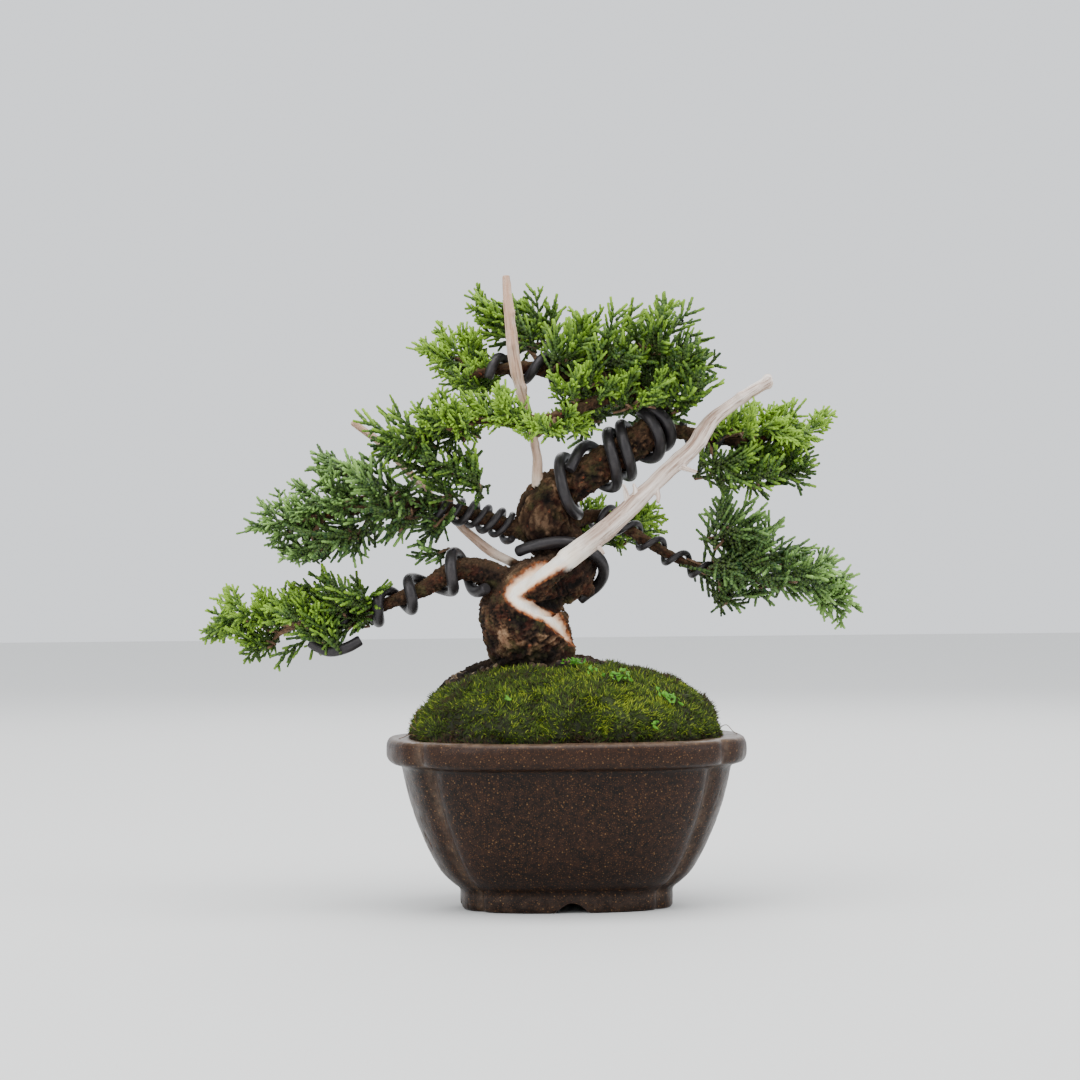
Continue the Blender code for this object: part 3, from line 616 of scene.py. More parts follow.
# %% Limbs
LIMBS = {
    "trunk": [(-7.5, 1.5, -20, 8), (-7, 1.5, -7, 9.4), (-6.6, 1, -1.5, 9.8), (-8.0, 0.5, 2.5, 11.6),
        (-11.4, 0, 8, 14.4), (-14.2, -1, 14, 14.9), (-14, -1, 19, 13.8), (-11, -1, 23.5, 11.8),
        (-5, 0, 27.8, 9.8), (1.2, 2, 29.6, 8.4), (3.4, 6.5, 34, 8.2), (-1.5, 8, 39.5, 8.2),
        (-6, 6.5, 45, 9), (-6.5, 5, 51, 9), (-2.5, 4, 57.2, 7.8), (5, 3, 61.4, 6.5),
        (13, 3, 66.2, 6.2), (21, 3, 71.2, 5.7), (28.5, 4, 76.5, 5.2), (32.5, 6, 82.5, 4.3),
        (30, 9, 89, 3.4), (23, 9, 94, 2.6), (14, 7, 97.5, 1.8)],
    "stub": [(-1, 0, 29.5, 6.6), (4.2, 0.5, 26.8, 5.0), (7.6, 0.5, 24.2, 3.0), (8.8, 0, 22.4, 1.4)],
    "lower_left": [(-16, -1, 24, 6.4), (-22, -3, 28, 5.4), (-30, -5, 31.5, 4.1),
        (-38, -6, 30.5, 3.5), (-46, -5.5, 25.5, 2.9), (-55, -4, 21.8, 2.4), (-64, -2, 18, 2),
        (-71, 0, 14, 1.8), (-80, 2, 12.5, 1.4), (-90, 2, 13, 1)],
    "left": [(-8, 5, 43.5, 4.4), (-17, 4, 45, 3.2), (-25, 2.5, 48, 2.7), (-33, 1, 50.5, 2.4),
        (-43, -2, 52.5, 2.1), (-54, -4, 53.5, 1.8), (-66, -5, 52, 1.5), (-80, -5, 49.5, 1.1)],
    "middle": [(21, 8, 89.5, 2.8), (15, -1, 88.5, 2.3), (6, -9, 85, 2.0), (-5, -13.5, 81.5, 1.7),
        (-20, -16, 80.5, 1.4), (-34, -16, 81, 1.1), (-46, -15, 81, 0.8)],
    "crown_left": [(32, 6, 82, 3.6), (24, 8, 88.5, 3.2), (12, 8, 93, 2.8), (0, 6, 96.5, 2.6),
        (-10, 4.5, 99, 2.4), (-21, 3.5, 98.5, 2.0), (-33, 3, 96, 1.6)],
    "right_upper": [(28, 4, 76, 3.2), (36, 7.5, 77.5, 2.6), (46, 9, 76, 2.2), (57, 8.5, 74, 1.8),
        (68, 7, 75, 1.4), (77, 6, 79, 1)],
    "right_lower": [(-4, 7, 44, 3.6), (5, 13, 48, 2.6), (14, 14, 49, 2.2), (22, 12.5, 44.5, 1.9),
        (31, 11, 38.5, 1.8), (41, 9, 33, 1.6), (50, 7, 29.5, 1.4), (60, 5, 28, 1.2),
        (72, 4, 25, 0.9)],
    "back": [(-4, 8, 49, 3.4), (-2, 17, 50, 2.5), (3, 26, 47, 2.0), (10, 34, 44, 1.5),
        (16, 40, 43, 1.1)],
    "crown_back": [(31, 7, 84, 3), (30, 16, 89, 2.3), (26, 25, 92, 1.8), (20, 33, 93, 1.2)],
    "long_jin": [(-13, -6.5, 20, 4.2), (-10, -10.8, 25.5, 4.2), (-3, -13.2, 31.8, 3.9),
        (3.7, -13.6, 36.8, 3.8), (12.1, -13.2, 43.0, 3.5), (20.4, -12.8, 50.2, 3.1),
        (28.8, -12.2, 58.2, 2.85), (37.2, -11.6, 66.0, 2.8), (42.6, -11, 71.3, 2.8),
        (46.0, -10.6, 75.8, 2.95), (49.4, -10.3, 80.6, 2.35), (54.5, -9.8, 84.6, 2.05),
        (60.6, -9.2, 88.6, 2.0), (66.6, -8.7, 92.2, 1.95), (69.4, -8.5, 93.9, 1.5)],
    "top_jin": [(-5, 3.5, 54, 3.2), (-8.7, 1, 60, 2.1), (-8.6, -1, 68, 1.75),
        (-10.0, -2.5, 76.5, 1.7), (-12.9, -3.5, 86, 1.85), (-15.4, -4.5, 97, 2.05),
        (-16.8, -5, 108, 1.95), (-18.0, -5.5, 120, 1.8), (-18.8, -5.5, 129.4, 1.3)],
    "left_jin": [(-12, 1, 27, 3), (-16, 3, 32.5, 1.9), (-24.8, 4.5, 37.4, 1.6),
        (-33.2, 5.5, 44.5, 1.5), (-37.5, 6.5, 49.2, 1.4), (-46.6, 7.5, 57.9, 1.35),
        (-54.9, 8, 66.9, 1.35), (-62.3, 8, 74.6, 1.35), (-71, 7, 81.3, 1.15)],
    "root_left": [(-9, 4, -4, 7.6), (-19, 5, -1.9, 4.4), (-27, 6, -2.8, 3.6), (-34, 7, -5.4, 3.0),
        (-40, 8, -8.8, 2.4), (-45, 9, -16, 1.6)],
    "root_right": [(-4, 3, -4.5, 7.8), (5, 2, -1.4, 4.2), (12, 2, -2.6, 3.0), (18, 3, -5, 2.4),
        (24, 4, -10, 1.6)],
    "root_front": [(-9, -4, -5, 8), (-12, -12, -7, 4.4), (-14, -20, -14, 2.8),
        (-16, -26, -26, 1.8)],
    "root_front_right": [(-5, -4, -5, 8), (6, -11, -7, 4.2), (15, -19, -15, 2.6),
        (19, -24, -28, 1.8)],
    "root_back": [(-7, 6, -5, 8), (-5, 14, -7, 4), (-2, 22, -13, 2.8), (3, 27, -26, 1.8)],
}
LIMBS |= {  # torn fibres standing off the long jin
    "splinter_a": [(21.2, -13.0, 52.6, 1.3), (20.6, -13.8, 56.0, 0.95), (19.6, -14.4, 59.4, 0.6)],
    "splinter_b": [(23.2, -13.2, 54.0, 1.2), (23.6, -14.0, 57.0, 0.85), (23.0, -14.6, 59.6, 0.55)],
    "splinter_c": [(30.4, -12.8, 58.0, 1.2), (31.2, -14.2, 55.4, 0.85), (31.0, -15.0, 53.0, 0.55)],
    "splinter_d": [(37.6, -12.0, 65.6, 1.3), (40.6, -13.4, 64.2, 0.95), (44.4, -14.2, 63.2, 0.6)],
    "splinter_e": [(9.6, -13.4, 41.2, 1.2), (11.6, -14.8, 38.4, 0.8), (13.2, -15.2, 36.2, 0.55)],
}
splinters = [name for name in LIMBS if name.startswith("splinter")]
JINS = ("long_jin", "top_jin", "left_jin", *splinters)
SHARI = [  # the bare strip: x, y, height above the moss, half width
    (4.0, -4.5, 5.2, 0.9), (1.6, -7.5, 8.6, 1.7), (-2.6, -10.6, 13.4, 2.1), (-7, -13.4, 16.6, 2.1),
    (-12, -14.6, 19.0, 2.0), (-16.2, -13.4, 21.2, 2.1), (-17.0, -12.0, 23.6, 2.3),
    (-14.0, -12.4, 26.4, 2.8), (-9.4, -14.2, 30.0, 3.1), (-3.4, -16.6, 33.9, 3.3),
    (2.4, -17, 38.2, 3.5),
]

print("limbs:", len(LIMBS), "of which bare:", len(JINS))

# %% Limb lines
SPACING = 0.8  # between the points of a limb's line
lines = {}
for name, points in LIMBS.items():
    line = evenly(smooth_line(points, 8), SPACING)
    line[:, 2] += COLLAR
    if name in JINS:
        rough = line * [1, 1, 1, 0]
        line[:, 3] *= 1 + 0.10 * noise(rough[:, :3], 5, 20, 2)
        line[:, 0] += 0.35 * noise(rough[:, :3], 9, 21, 2)
        line[:, 2] += 0.35 * noise(rough[:, :3], 9, 22, 2)
    else:
        line[:, 3] *= 1 + 0.05 * noise(line[:, :3], 7, 23, 2)
    lines[name] = line
print("points along the trunk:", len(lines["trunk"]))

# %% [markdown]
# On a living tree a branch flows out of the trunk with a swollen collar, and no seam shows. The
# tubes could be joined with Booleans, but those leave a hard line at every crotch. A voxel remesh
# fuses them into one skin, and a little smoothing rounds the crotches.

# %% Fuse the limbs
TREE_VOXEL = 0.42  # fine enough for the smaller bark flakes
tubes = [sweep(line, 28 if name == "trunk" else 14) for name, line in lines.items()]
points, faces = joined(*zip(*tubes))
tree = make_mesh("tree_body", points * MM, faces)
fuse = tree.modifiers.new("fuse", "REMESH")
fuse.mode = "VOXEL"
fuse.voxel_size = TREE_VOXEL * MM
soften = tree.modifiers.new("soften", "SMOOTH")
soften.factor = 0.5
soften.iterations = 4
apply_modifiers(tree)
points = coords(tree.data) / MM
print("tree points:", len(points))

# %% [markdown]
# The remesh forgets which limb a point came from, but bark runs along its own limb, and a jin has
# none. A search tree could find the nearest point of any line. It would favour thin limbs near
# thick ones, though, so what is compared here is the gap to each limb's surface, line points by
# the batch. Then each point learns its limb, how far along it is and where it lies across.

# %% Which limb, how far along and where across
names = list(lines)
middles = np.concatenate([lines[name] for name in names])
centre, radius_of = middles[:, :3], middles[:, 3]
owner = np.concatenate([np.full(len(lines[name]), i) for i, name in enumerate(names)])
distance_along = np.concatenate([np.arange(len(lines[name])) * SPACING for name in names])
axis_t, axis_u, axis_v = (np.concatenate(a) for a in zip(*(frames(lines[n]) for n in names)))
nearest = np.zeros(len(points), int)
best = np.full(len(points), 1e9)
BATCH = 40
for start in range(0, len(centre), BATCH):
    span = slice(start, start + BATCH)
    gap = np.linalg.norm(points[:, None] - centre[None, span], axis=2) - radius_of[span]
    pick = gap.argmin(axis=1)
    value = gap[np.arange(len(points)), pick]
    better = value < best
    best[better] = value[better]
    nearest[better] = pick[better] + start
away = points - centre[nearest]
across_u = (away * axis_u[nearest]).sum(axis=1)
across_v = (away * axis_v[nearest]).sum(axis=1)
along = distance_along[nearest] + (away * axis_t[nearest]).sum(axis=1)
limb = owner[nearest]
girth = radius_of[nearest]
is_jin = np.isin(limb, [names.index(n) for n in JINS])
print("points on jins:", int(is_jin.sum()))

# %% [markdown]
# ## Bark and bare wood
# A strip of bark was cut away years ago: it starts low on the trunk's right, turns at the outer
# bend and runs into the long jin. Its edge is wavy, and a lip of living bark is rolling over the
# wood. The strip could be a mask painted by hand. Here it is a line with a width, and each point's
# distance from its edge gives the bare wood, the raised lip and the burnt colour between them.

# %% Where the bark is missing
shari = evenly(smooth_line([(x, y, z + COLLAR, w) for x, y, z, w in SHARI], 8), 0.5)
strip = np.full(len(points), 1e9)
for start in range(0, len(shari), BATCH // 2):
    span = slice(start, start + BATCH // 2)
    gap = (points[:, None] - shari[None, span, :3]) * [1, 0.45, 1]
    strip = np.minimum(strip, (np.linalg.norm(gap, axis=2) - shari[span, 3]).min(axis=1))
strip = strip + 6 * smoothstep(-3.5, 0, points[:, 1])  # none at the back
wobble = 0.40 * noise(points, 3.5, 31, 2) + 0.35 * noise(points, 1.2, 32, 2)
JIN_START = {"long_jin": 21.0, "top_jin": 7.0, "left_jin": 9.0}  # bark reaches this far along
jin_start = np.array([JIN_START.get(name, -9.0) for name in names])[limb]
on_jin = is_jin * smoothstep(-1.5, 1.5, along - jin_start + 2.5 * noise(points, 4, 33, 2))
silvered = is_jin * smoothstep(0, 14, along - jin_start + 3 * noise(points, 4, 34, 2))
strip = strip + wobble
bare = np.maximum(smoothstep(0.35, -0.35, strip), on_jin)
lip = np.exp(-((strip - 1.2) / 0.8) ** 2) * (1 - on_jin)
fringe = np.exp(-((strip - 0.25) / 0.65) ** 2) * (1 - on_jin)
print("bare share:", round(float(bare.mean()), 3))

# %% [markdown]
# Old juniper bark lifts in long plates and flakes with cracks between them, coarser on the trunk
# than on a twig. Bump alone would leave the outline smooth, so the skin itself is moved. The noise
# is stretched along each limb, and part of it is cut into steps, which gives the flakes edges.

# %% Bark relief
big = smoothstep(1.5, 9, girth)
trunk_share = (limb == names.index("trunk")) * smoothstep(60, 48, along)
local = np.stack([
    along * (0.55 + 0.75 * trunk_share), across_u * (1 - 0.35 * trunk_share), across_v,
], axis=1)
local = local + limb[:, None] * 37.0  # so that no two limbs share a pattern
stretch = 0.8 + 1.0 * big
flakes = np.zeros(len(points))
for size, weight, seed in ((2.2, 1.0, 41), (1.1, 0.6, 42)):
    value = noise(local / stretch[:, None] * 1.9, size, seed, 3) * 2.4
    steps = np.floor(value * 2.5) / 2.5
    flakes += weight * (0.7 * steps + 0.3 * value)
cracks = 1 - np.abs(noise(local / stretch[:, None] * 1.9, 2.0, 43, 2)) * 3.4
cracks = np.clip(cracks, 0, 1) ** 2
lumps = noise(points, 8, 44, 2)
relief = (0.30 + 0.45 * big) * flakes * 0.58 - (0.25 + 0.65 * big) * cracks * 0.75 + 1.2 * big * lumps
relief += 0.22 * noise(points, 0.9, 45, 2)
scar = np.exp(-(np.linalg.norm(points - [-18.5, -12, COLLAR + 8], axis=1) / 3.4) ** 2)
relief += 1.3 * scar * big
print("bark relief (mm):", round(float(relief.min()), 2), "to", round(float(relief.max()), 2))

# %% [markdown]
# Bleached wood keeps its fine grain, a few long checks, and knots where twigs were. The strip is
# sunk below the bark round it, because the bark went on growing. There is also a hollow in the
# bark under the strip's lowest bend, which its colour later fills with painted shade. They could
# be carved one by one. A knot or a hollow is round enough to be a smooth bump or dent about one
# point, so a short list of points does it.

# %% Grain, knots and the hollow
grain = np.stack([along * 0.05, across_u, across_v], axis=1) + limb[:, None] * 11.0
wood = (0.20 * noise(grain, 0.55, 51, 2) + 0.34 * noise(grain, 1.7, 52, 2)
        + 0.35 * noise(points, 6, 53, 2))
wood -= 0.45 * np.clip(noise(grain, 1.1, 54, 1) - 0.40, 0, 1) * 2
sink = -0.9 * smoothstep(0.5, -1.2, strip) * (1 - on_jin)
push = relief * (1 - bare) + (wood * np.clip(girth / 3.2, 0.3, 1) + sink) * bare + 0.75 * lip
notch = (points - [-3.5, -11.0, COLLAR + 19.6]) / [8.0, 6.0, 1.7]
hollow = np.exp(-(notch ** 2).sum(axis=1) ** 1.3)
push -= 3.4 * hollow * (1 - bare)
KNOTS = [  # x, y, height above the moss, radius, rise
    (58.6, -11, 88.6, 1.5, 0.9), (44.5, -12.6, 76.5, 1.9, 0.8), (46.5, -12.6, 73.0, 1.5, 0.7),
    (39, -13.8, 67.6, 1.2, -0.7), (67.9, -8.6, 94.6, 1.6, 1.1), (68.6, -8.6, 91.6, 1.2, 0.8),
    (14, -16.4, 45.0, 1.3, 0.7), (6, -17, 39.6, 1.2, -0.6), (24.5, -14.8, 54.6, 1.2, 0.8),
    (-17, -6, 106, 1.3, 0.7), (-12.4, -5, 92, 1.2, 0.6), (-9.2, -3.4, 73, 1.2, 0.7),
    (-16.6, -6.4, 117, 1.0, 0.6), (-66, 6, 77.4, 1.1, 0.5),
]
knots = 0
for x, y, z, size, rise in KNOTS:
    knots = knots + rise * np.exp(-(np.linalg.norm(points - [x, y, z + COLLAR], axis=1) / size) ** 2)
push += knots * bare
print("knots:", len(KNOTS), "on bare wood")

# %% Push the skin and write what each point is
outward = normals_of(tree.data)
points = points + outward * push[:, None]
set_coords(tree.data, tree_to_frame(points))
rise = points[:, 2] - COLLAR
for key, values in {
    "bare": bare,
    "fringe": fringe,
    "blush": np.exp(-((strip + 0.35) / 0.7) ** 2) * (1 - on_jin),
    "tan": np.isin(limb, [names.index("left_jin"), names.index("top_jin")]).astype(float),
    "depth": np.clip(0.5 + relief * 0.5, 0, 1),
    "jin": silvered,
    "along": along,
    "side_u": across_u,
    "side_v": across_v,
    "shade": smoothstep(26, 32, rise) * smoothstep(54, 46, rise) * big,
    "hollow": hollow,
    "top": smoothstep(0.1, 0.8, outward[:, 2]),
    "low": smoothstep(8, -2, rise) * (1 - on_jin),
}.items():
    set_attribute(tree.data, key, values)
tree.data.polygons.foreach_set("use_smooth", np.full(len(tree.data.polygons), True))
print("relief (mm):", round(float(push.min()), 2), "to", round(float(push.max()), 2))

# %% [markdown]
# Living bark is brown to grey, with reddish and greenish patches and orange underbark where a
# plate has just fallen. Shade is painted into it: the cracks are painted black, the bark in the
# shade of the crown is darkened, and the foot is nearly black, partly as damp bark and partly as
# painted shadow. Faces that look upward are painted lighter, as if lit from above. Ramps could
# colour it by height alone. Here the relief's own depth picks the tone first, so that cracks stay
# dark wherever they run, and patches of noise are laid over that.

# %% Bark colour
g = Graph("juniper_wood")
# The relief's depth sets the tone: raised flakes are lighter, and the cracks go near black as painted
# shade.
bark = g.ramp(g.attribute("depth"), (0.15, rgb(12, 7, 5)), (0.42, rgb(46, 31, 21)),
              (0.66, rgb(90, 66, 46)), (0.95, rgb(148, 118, 90)))
reddish = g.ramp(g.noise(4.5, 4, 0.6), (0.50, 0.0), (0.66, 1.0))
bark = g.mix(g.times(reddish, 0.5), bark, rgb(84, 40, 26))
greenish = g.ramp(g.noise(5.5, 4, 0.6), (0.52, 0.0), (0.66, 1.0))
bark = g.mix(g.times(greenish, 0.5), bark, rgb(78, 76, 44))
# Painted light: faces that look upward are made lighter, as if lit from above.
bark = g.mix(g.times(g.attribute("top"), 0.35), bark, rgb(126, 100, 74))
bark = g.mix(g.ramp(g.noise(0.8, 4, 0.7), (0.36, 0.5), (0.56, 0.0)), bark, rgb(18, 12, 9))
ember = g.ramp(g.noise(2.6, 3, 0.6), (0.66, 0.0), (0.72, 0.5))
bark = g.mix(ember, bark, rgb(150, 78, 50))
bark = g.mix(g.times(g.attribute("shade"), 0.6), bark, rgb(34, 20, 15))
# Darker towards the foot: partly damp bark, partly painted shadow under the bulge.
bark = g.mix(g.times(g.attribute("low"), 0.85), bark, rgb(16, 11, 9))
print("bark nodes:", len(g.tree.nodes))

# %% [markdown]
# The bare wood has been brushed with lime and bleached by the sun: nearly white on the cut strip,
# silver grey with brown checks on the jins, and honey coloured close to the live bark. Plain noise
# would blotch it. Its grain runs along each limb, so the noise is read from the distance along and
# across the limb, squeezed lengthways.

# %% Bare wood colour
grain_place = g.add("ShaderNodeCombineXYZ", X=g.times(g.attribute("along"), 0.06),
                    Y=g.attribute("side_u"), Z=g.attribute("side_v")).outputs["Vector"]
lines_fine = g.add("ShaderNodeTexNoise", Vector=grain_place, Scale=1.6, Detail=4.0,
                   Roughness=0.65).outputs["Fac"]
lines_wide = g.add("ShaderNodeTexNoise", Vector=grain_place, Scale=0.5, Detail=3.0,
                   Roughness=0.6).outputs["Fac"]
pale = g.ramp(g.noise(5, 4, 0.6), (0.3, rgb(255, 240, 218)), (0.62, rgb(255, 250, 240)),
              (0.85, rgb(244, 208, 170)))
silver = g.ramp(lines_wide, (0.32, rgb(158, 130, 114)), (0.5, rgb(214, 194, 180)),
                (0.68, rgb(246, 236, 228)))
wood_colour = g.mix(g.attribute("jin"), pale, silver)
wood_colour = g.mix(g.times(g.attribute("blush"), 0.75), wood_colour, rgb(232, 176, 124))
tan_patches = g.times(g.attribute("tan"), g.ramp(g.noise(7, 3), (0.3, 0.25), (0.7, 0.8)))
wood_colour = g.mix(tan_patches, wood_colour, rgb(196, 150, 120))
streak = g.times(g.ramp(lines_fine, (0.36, 0.85), (0.47, 0.0)),
                 g.plus(g.times(g.attribute("jin"), 0.7), 0.15))
wood_colour = g.mix(streak, wood_colour, rgb(124, 92, 74))
print("bark and bare wood nodes:", len(g.tree.nodes))

# %% Bark and wood together
bare_share = g.attribute("bare")
colour = g.mix(bare_share, bark, wood_colour)
burnt = g.mix(g.ramp(g.noise(1.6, 3), (0.40, 0.0), (0.62, 1.0)), rgb(186, 112, 62), rgb(112, 50, 26))
broken = g.ramp(g.noise(1.4, 3, 0.6), (0.34, 0.15), (0.62, 1.0))
edge = g.times(g.ramp(g.attribute("fringe"), (0.30, 0.0), (0.9, 0.85)), broken)
colour = g.mix(edge, colour, burnt)
# Painted shade: the hollow is coloured nearly black.
colour = g.mix(g.attribute("hollow"), colour, rgb(10, 6, 5))
rough = g.mix(bare_share, (0.88, 0.88, 0.88), (0.62, 0.62, 0.62))
g.bump(g.plus(g.noise(0.35, 4, 0.65), g.plus(g.noise(1.1, 4, 0.6), lines_fine)), 0.7, 0.30)
dress(tree, g.surface(colour, rough, Specular_IOR_Level=0.2), "wood", "tree")
print("tree dressed, nodes:", len(g.tree.nodes))

# %% [markdown]
# ## Foliage
# Juniper foliage is made of cords: each shoot is covered by pairs of tiny scale leaves pressed
# against it. Flat cards with a leaf picture would be quicker, but they show their edges close up.
# Here one shoot is a four-sided cord whose rings swell and pinch, with every pair of scales
# turned against the last. Many shoots make a spray, and sprays fill a pad.

# %% One shoot, copied many times
BEADS = 5  # pairs of scales on a shoot
# Along the shoot from 0 to 1, the share of its radius, and the turn of each ring.
ring_t, ring_r, ring_turn = [0.0], [0.55], [0.0]
for bead in range(BEADS):
    ring_t += [(bead + 0.12) / BEADS, (bead + 0.84) / BEADS]
    ring_r += [0.80, 1.08]
    ring_turn += [bead * math.pi / 4] * 2
ring_t.append(1.0)
ring_r.append(0.16)
ring_turn.append((BEADS - 1) * math.pi / 4)
ring_t, ring_r, ring_turn = map(np.array, (ring_t, ring_r, ring_turn))
ring_r[-2] *= 0.80
print("rings on a shoot:", len(ring_t))

# %% All of a pad's shoots as one mesh
def shoots_mesh(name, shoots):
    """All of a pad's shoots as one mesh.

    A shoot is a row: its base, direction and bend, then its length, radius, tint and tip.
    """
    s = np.array(shoots)
    base, along_dir, bend = s[:, 0:3], unit(s[:, 3:6]), s[:, 6:9]
    length, thick, tint, tip = s[:, 9], s[:, 10], s[:, 11], s[:, 12]
    other = np.where(np.abs(along_dir[:, 2:3]) < 0.9, [[0, 0, 1.0]], [[1.0, 0, 0]])
    u = unit(np.cross(along_dir, other))
    v = np.cross(along_dir, u)
    count, rings, around = len(s), len(ring_t), 4
    t = ring_t[None, :, None]
    spine = (base[:, None] + along_dir[:, None] * (length[:, None, None] * t)
             + bend[:, None] * (length[:, None, None] * t * t))
    angles = ring_turn[:, None] + np.arange(around) * math.pi / 2
    taper = 1 - 0.18 * ring_t ** 2
    size = thick[:, None] * (ring_r * taper)[None]
    cosines, sines = np.cos(angles)[None, :, :, None], np.sin(angles)[None, :, :, None]
    ring = u[:, None, None] * cosines + v[:, None, None] * sines
    verts = spine[:, :, None] + ring * size[:, :, None, None]
    faces = repeated(grid_faces(rings, around), rings * around, count)
    tint_all = np.repeat(tint, rings * around)
    tip_all = (tip[:, None, None] * ring_t[None, :, None] * np.ones((1, 1, around))).reshape(-1)
    scale_edge = np.tile(np.repeat((ring_r > 1.0).astype(float), around), count)
    made = make_mesh(name, tree_to_frame(verts.reshape(-1, 3)), faces,
                     {"tint": tint_all, "tip": tip_all, "edge": scale_edge})
    # A picture of this foliage is painted by its tint across and its place along each shoot.
    side = np.tile(np.arange(around) / around, count * rings)
    mark = np.repeat(rng.random(count), rings * around)
    place_across = np.clip(0.04 + 0.88 * tint_all + 0.035 * side + 0.01 * mark, 0.002, 0.998)
    place_upward = np.clip(0.03 + 0.94 * np.tile(np.repeat(ring_t, around), count), 0, 1)
    paint_map(made, place_across, place_upward)
    return made


print("triangles on a shoot:", 2 * len(grid_faces(len(ring_t), 4)))

# %% [markdown]
# A spray is a flat fan, like a fern's frond: a main shoot that curls a little, with side shoots to
# the left and right in turn, shorter towards the tip. Vigorous growth at the pads' ends is finer
# and brighter, with twin buds on its side shoots. A particle system could scatter shoots, but it
# wouldn't build this order, so each spray is drawn by a short routine with a few random choices.

# %% One spray
def spray(shoots, base, direction, length, tint, flat, fine):
    """A main shoot with side shoots in a fan: `fine` fans are closer set, with short side buds."""
    direction = unit(direction)
    across = unit(np.cross(direction, flat))
    lift = np.cross(across, direction)
    curl = rng.normal(0, 0.07)
    pieces = 3
    place, heading = base.copy(), direction.copy()
    stops = [place]
    for k in range(pieces):
        span = length / pieces
        heading = unit(heading + across * curl + lift * rng.uniform(-0.04, 0.12))
        last = k == pieces - 1
        shoots.append([*place, *heading, *(lift * 0.04), span * (1.12 if last else 1.06),
                       0.60 - 0.05 * k, tint - (0.22, 0.10, 0.0)[k], (0.1, 0.3, 1.0)[k]])
        place = place + heading * span
        stops.append(place)
    stops = np.array(stops)
    count = max(5, int(length / (1.25 if fine else 1.9)))
    for k in range(count):
        share = (k + 0.8) / (count + 0.4)
        at = np.array([np.interp(share * pieces, range(pieces + 1), stops[:, i]) for i in range(3)])
        side = 1 if k % 2 else -1
        opening = math.radians(rng.uniform(34, 50) - 10 * share)
        out = unit(direction * math.cos(opening) + across * side * math.sin(opening)
                   + lift * rng.normal(0.06, 0.20))
        reach = ((0.50 if fine else 0.62) - 0.26 * share) * length * rng.uniform(0.8, 1.2)
        reach = min(max(2.8, reach), 9.5)
        bright = tint + rng.normal(0, 0.15) + 0.20 * (share - 0.5)
        shoots.append([*at, *out, *(direction * 0.10 + lift * rng.uniform(-0.04, 0.10)), reach,
                       rng.uniform(0.48, 0.57) if fine else rng.uniform(0.58, 0.74), bright, 1.0])
        if reach > (3.6 if fine else 5.4):
            buds = 2 if fine else rng.integers(0, 2)
            for twin in range(buds):
                bud = at + out * reach * rng.uniform(0.35, 0.75)
                open2 = math.radians(rng.uniform(30, 46))
                hand = 1 if twin % 2 else -1
                out2 = unit(out * math.cos(open2) + np.cross(out, lift) * hand * math.sin(open2)
                            + lift * rng.normal(0.1, 0.2))
                shoots.append([*bud, *out2, 0, 0, 0.0, rng.uniform(2.2, 3.6),
                               rng.uniform(0.46, 0.54), bright + 0.06, 1.0])


print("spray helper ready")

# %% [markdown]
# The tree's maker keeps the foliage in separate pads with air between them, each on a branch of
# its own. A pad is a list of clumps: middle x, y and height above the moss, half sizes, how light
# its green is, and how many sprays grow in it. `lean` is the way that the whole pad reaches.

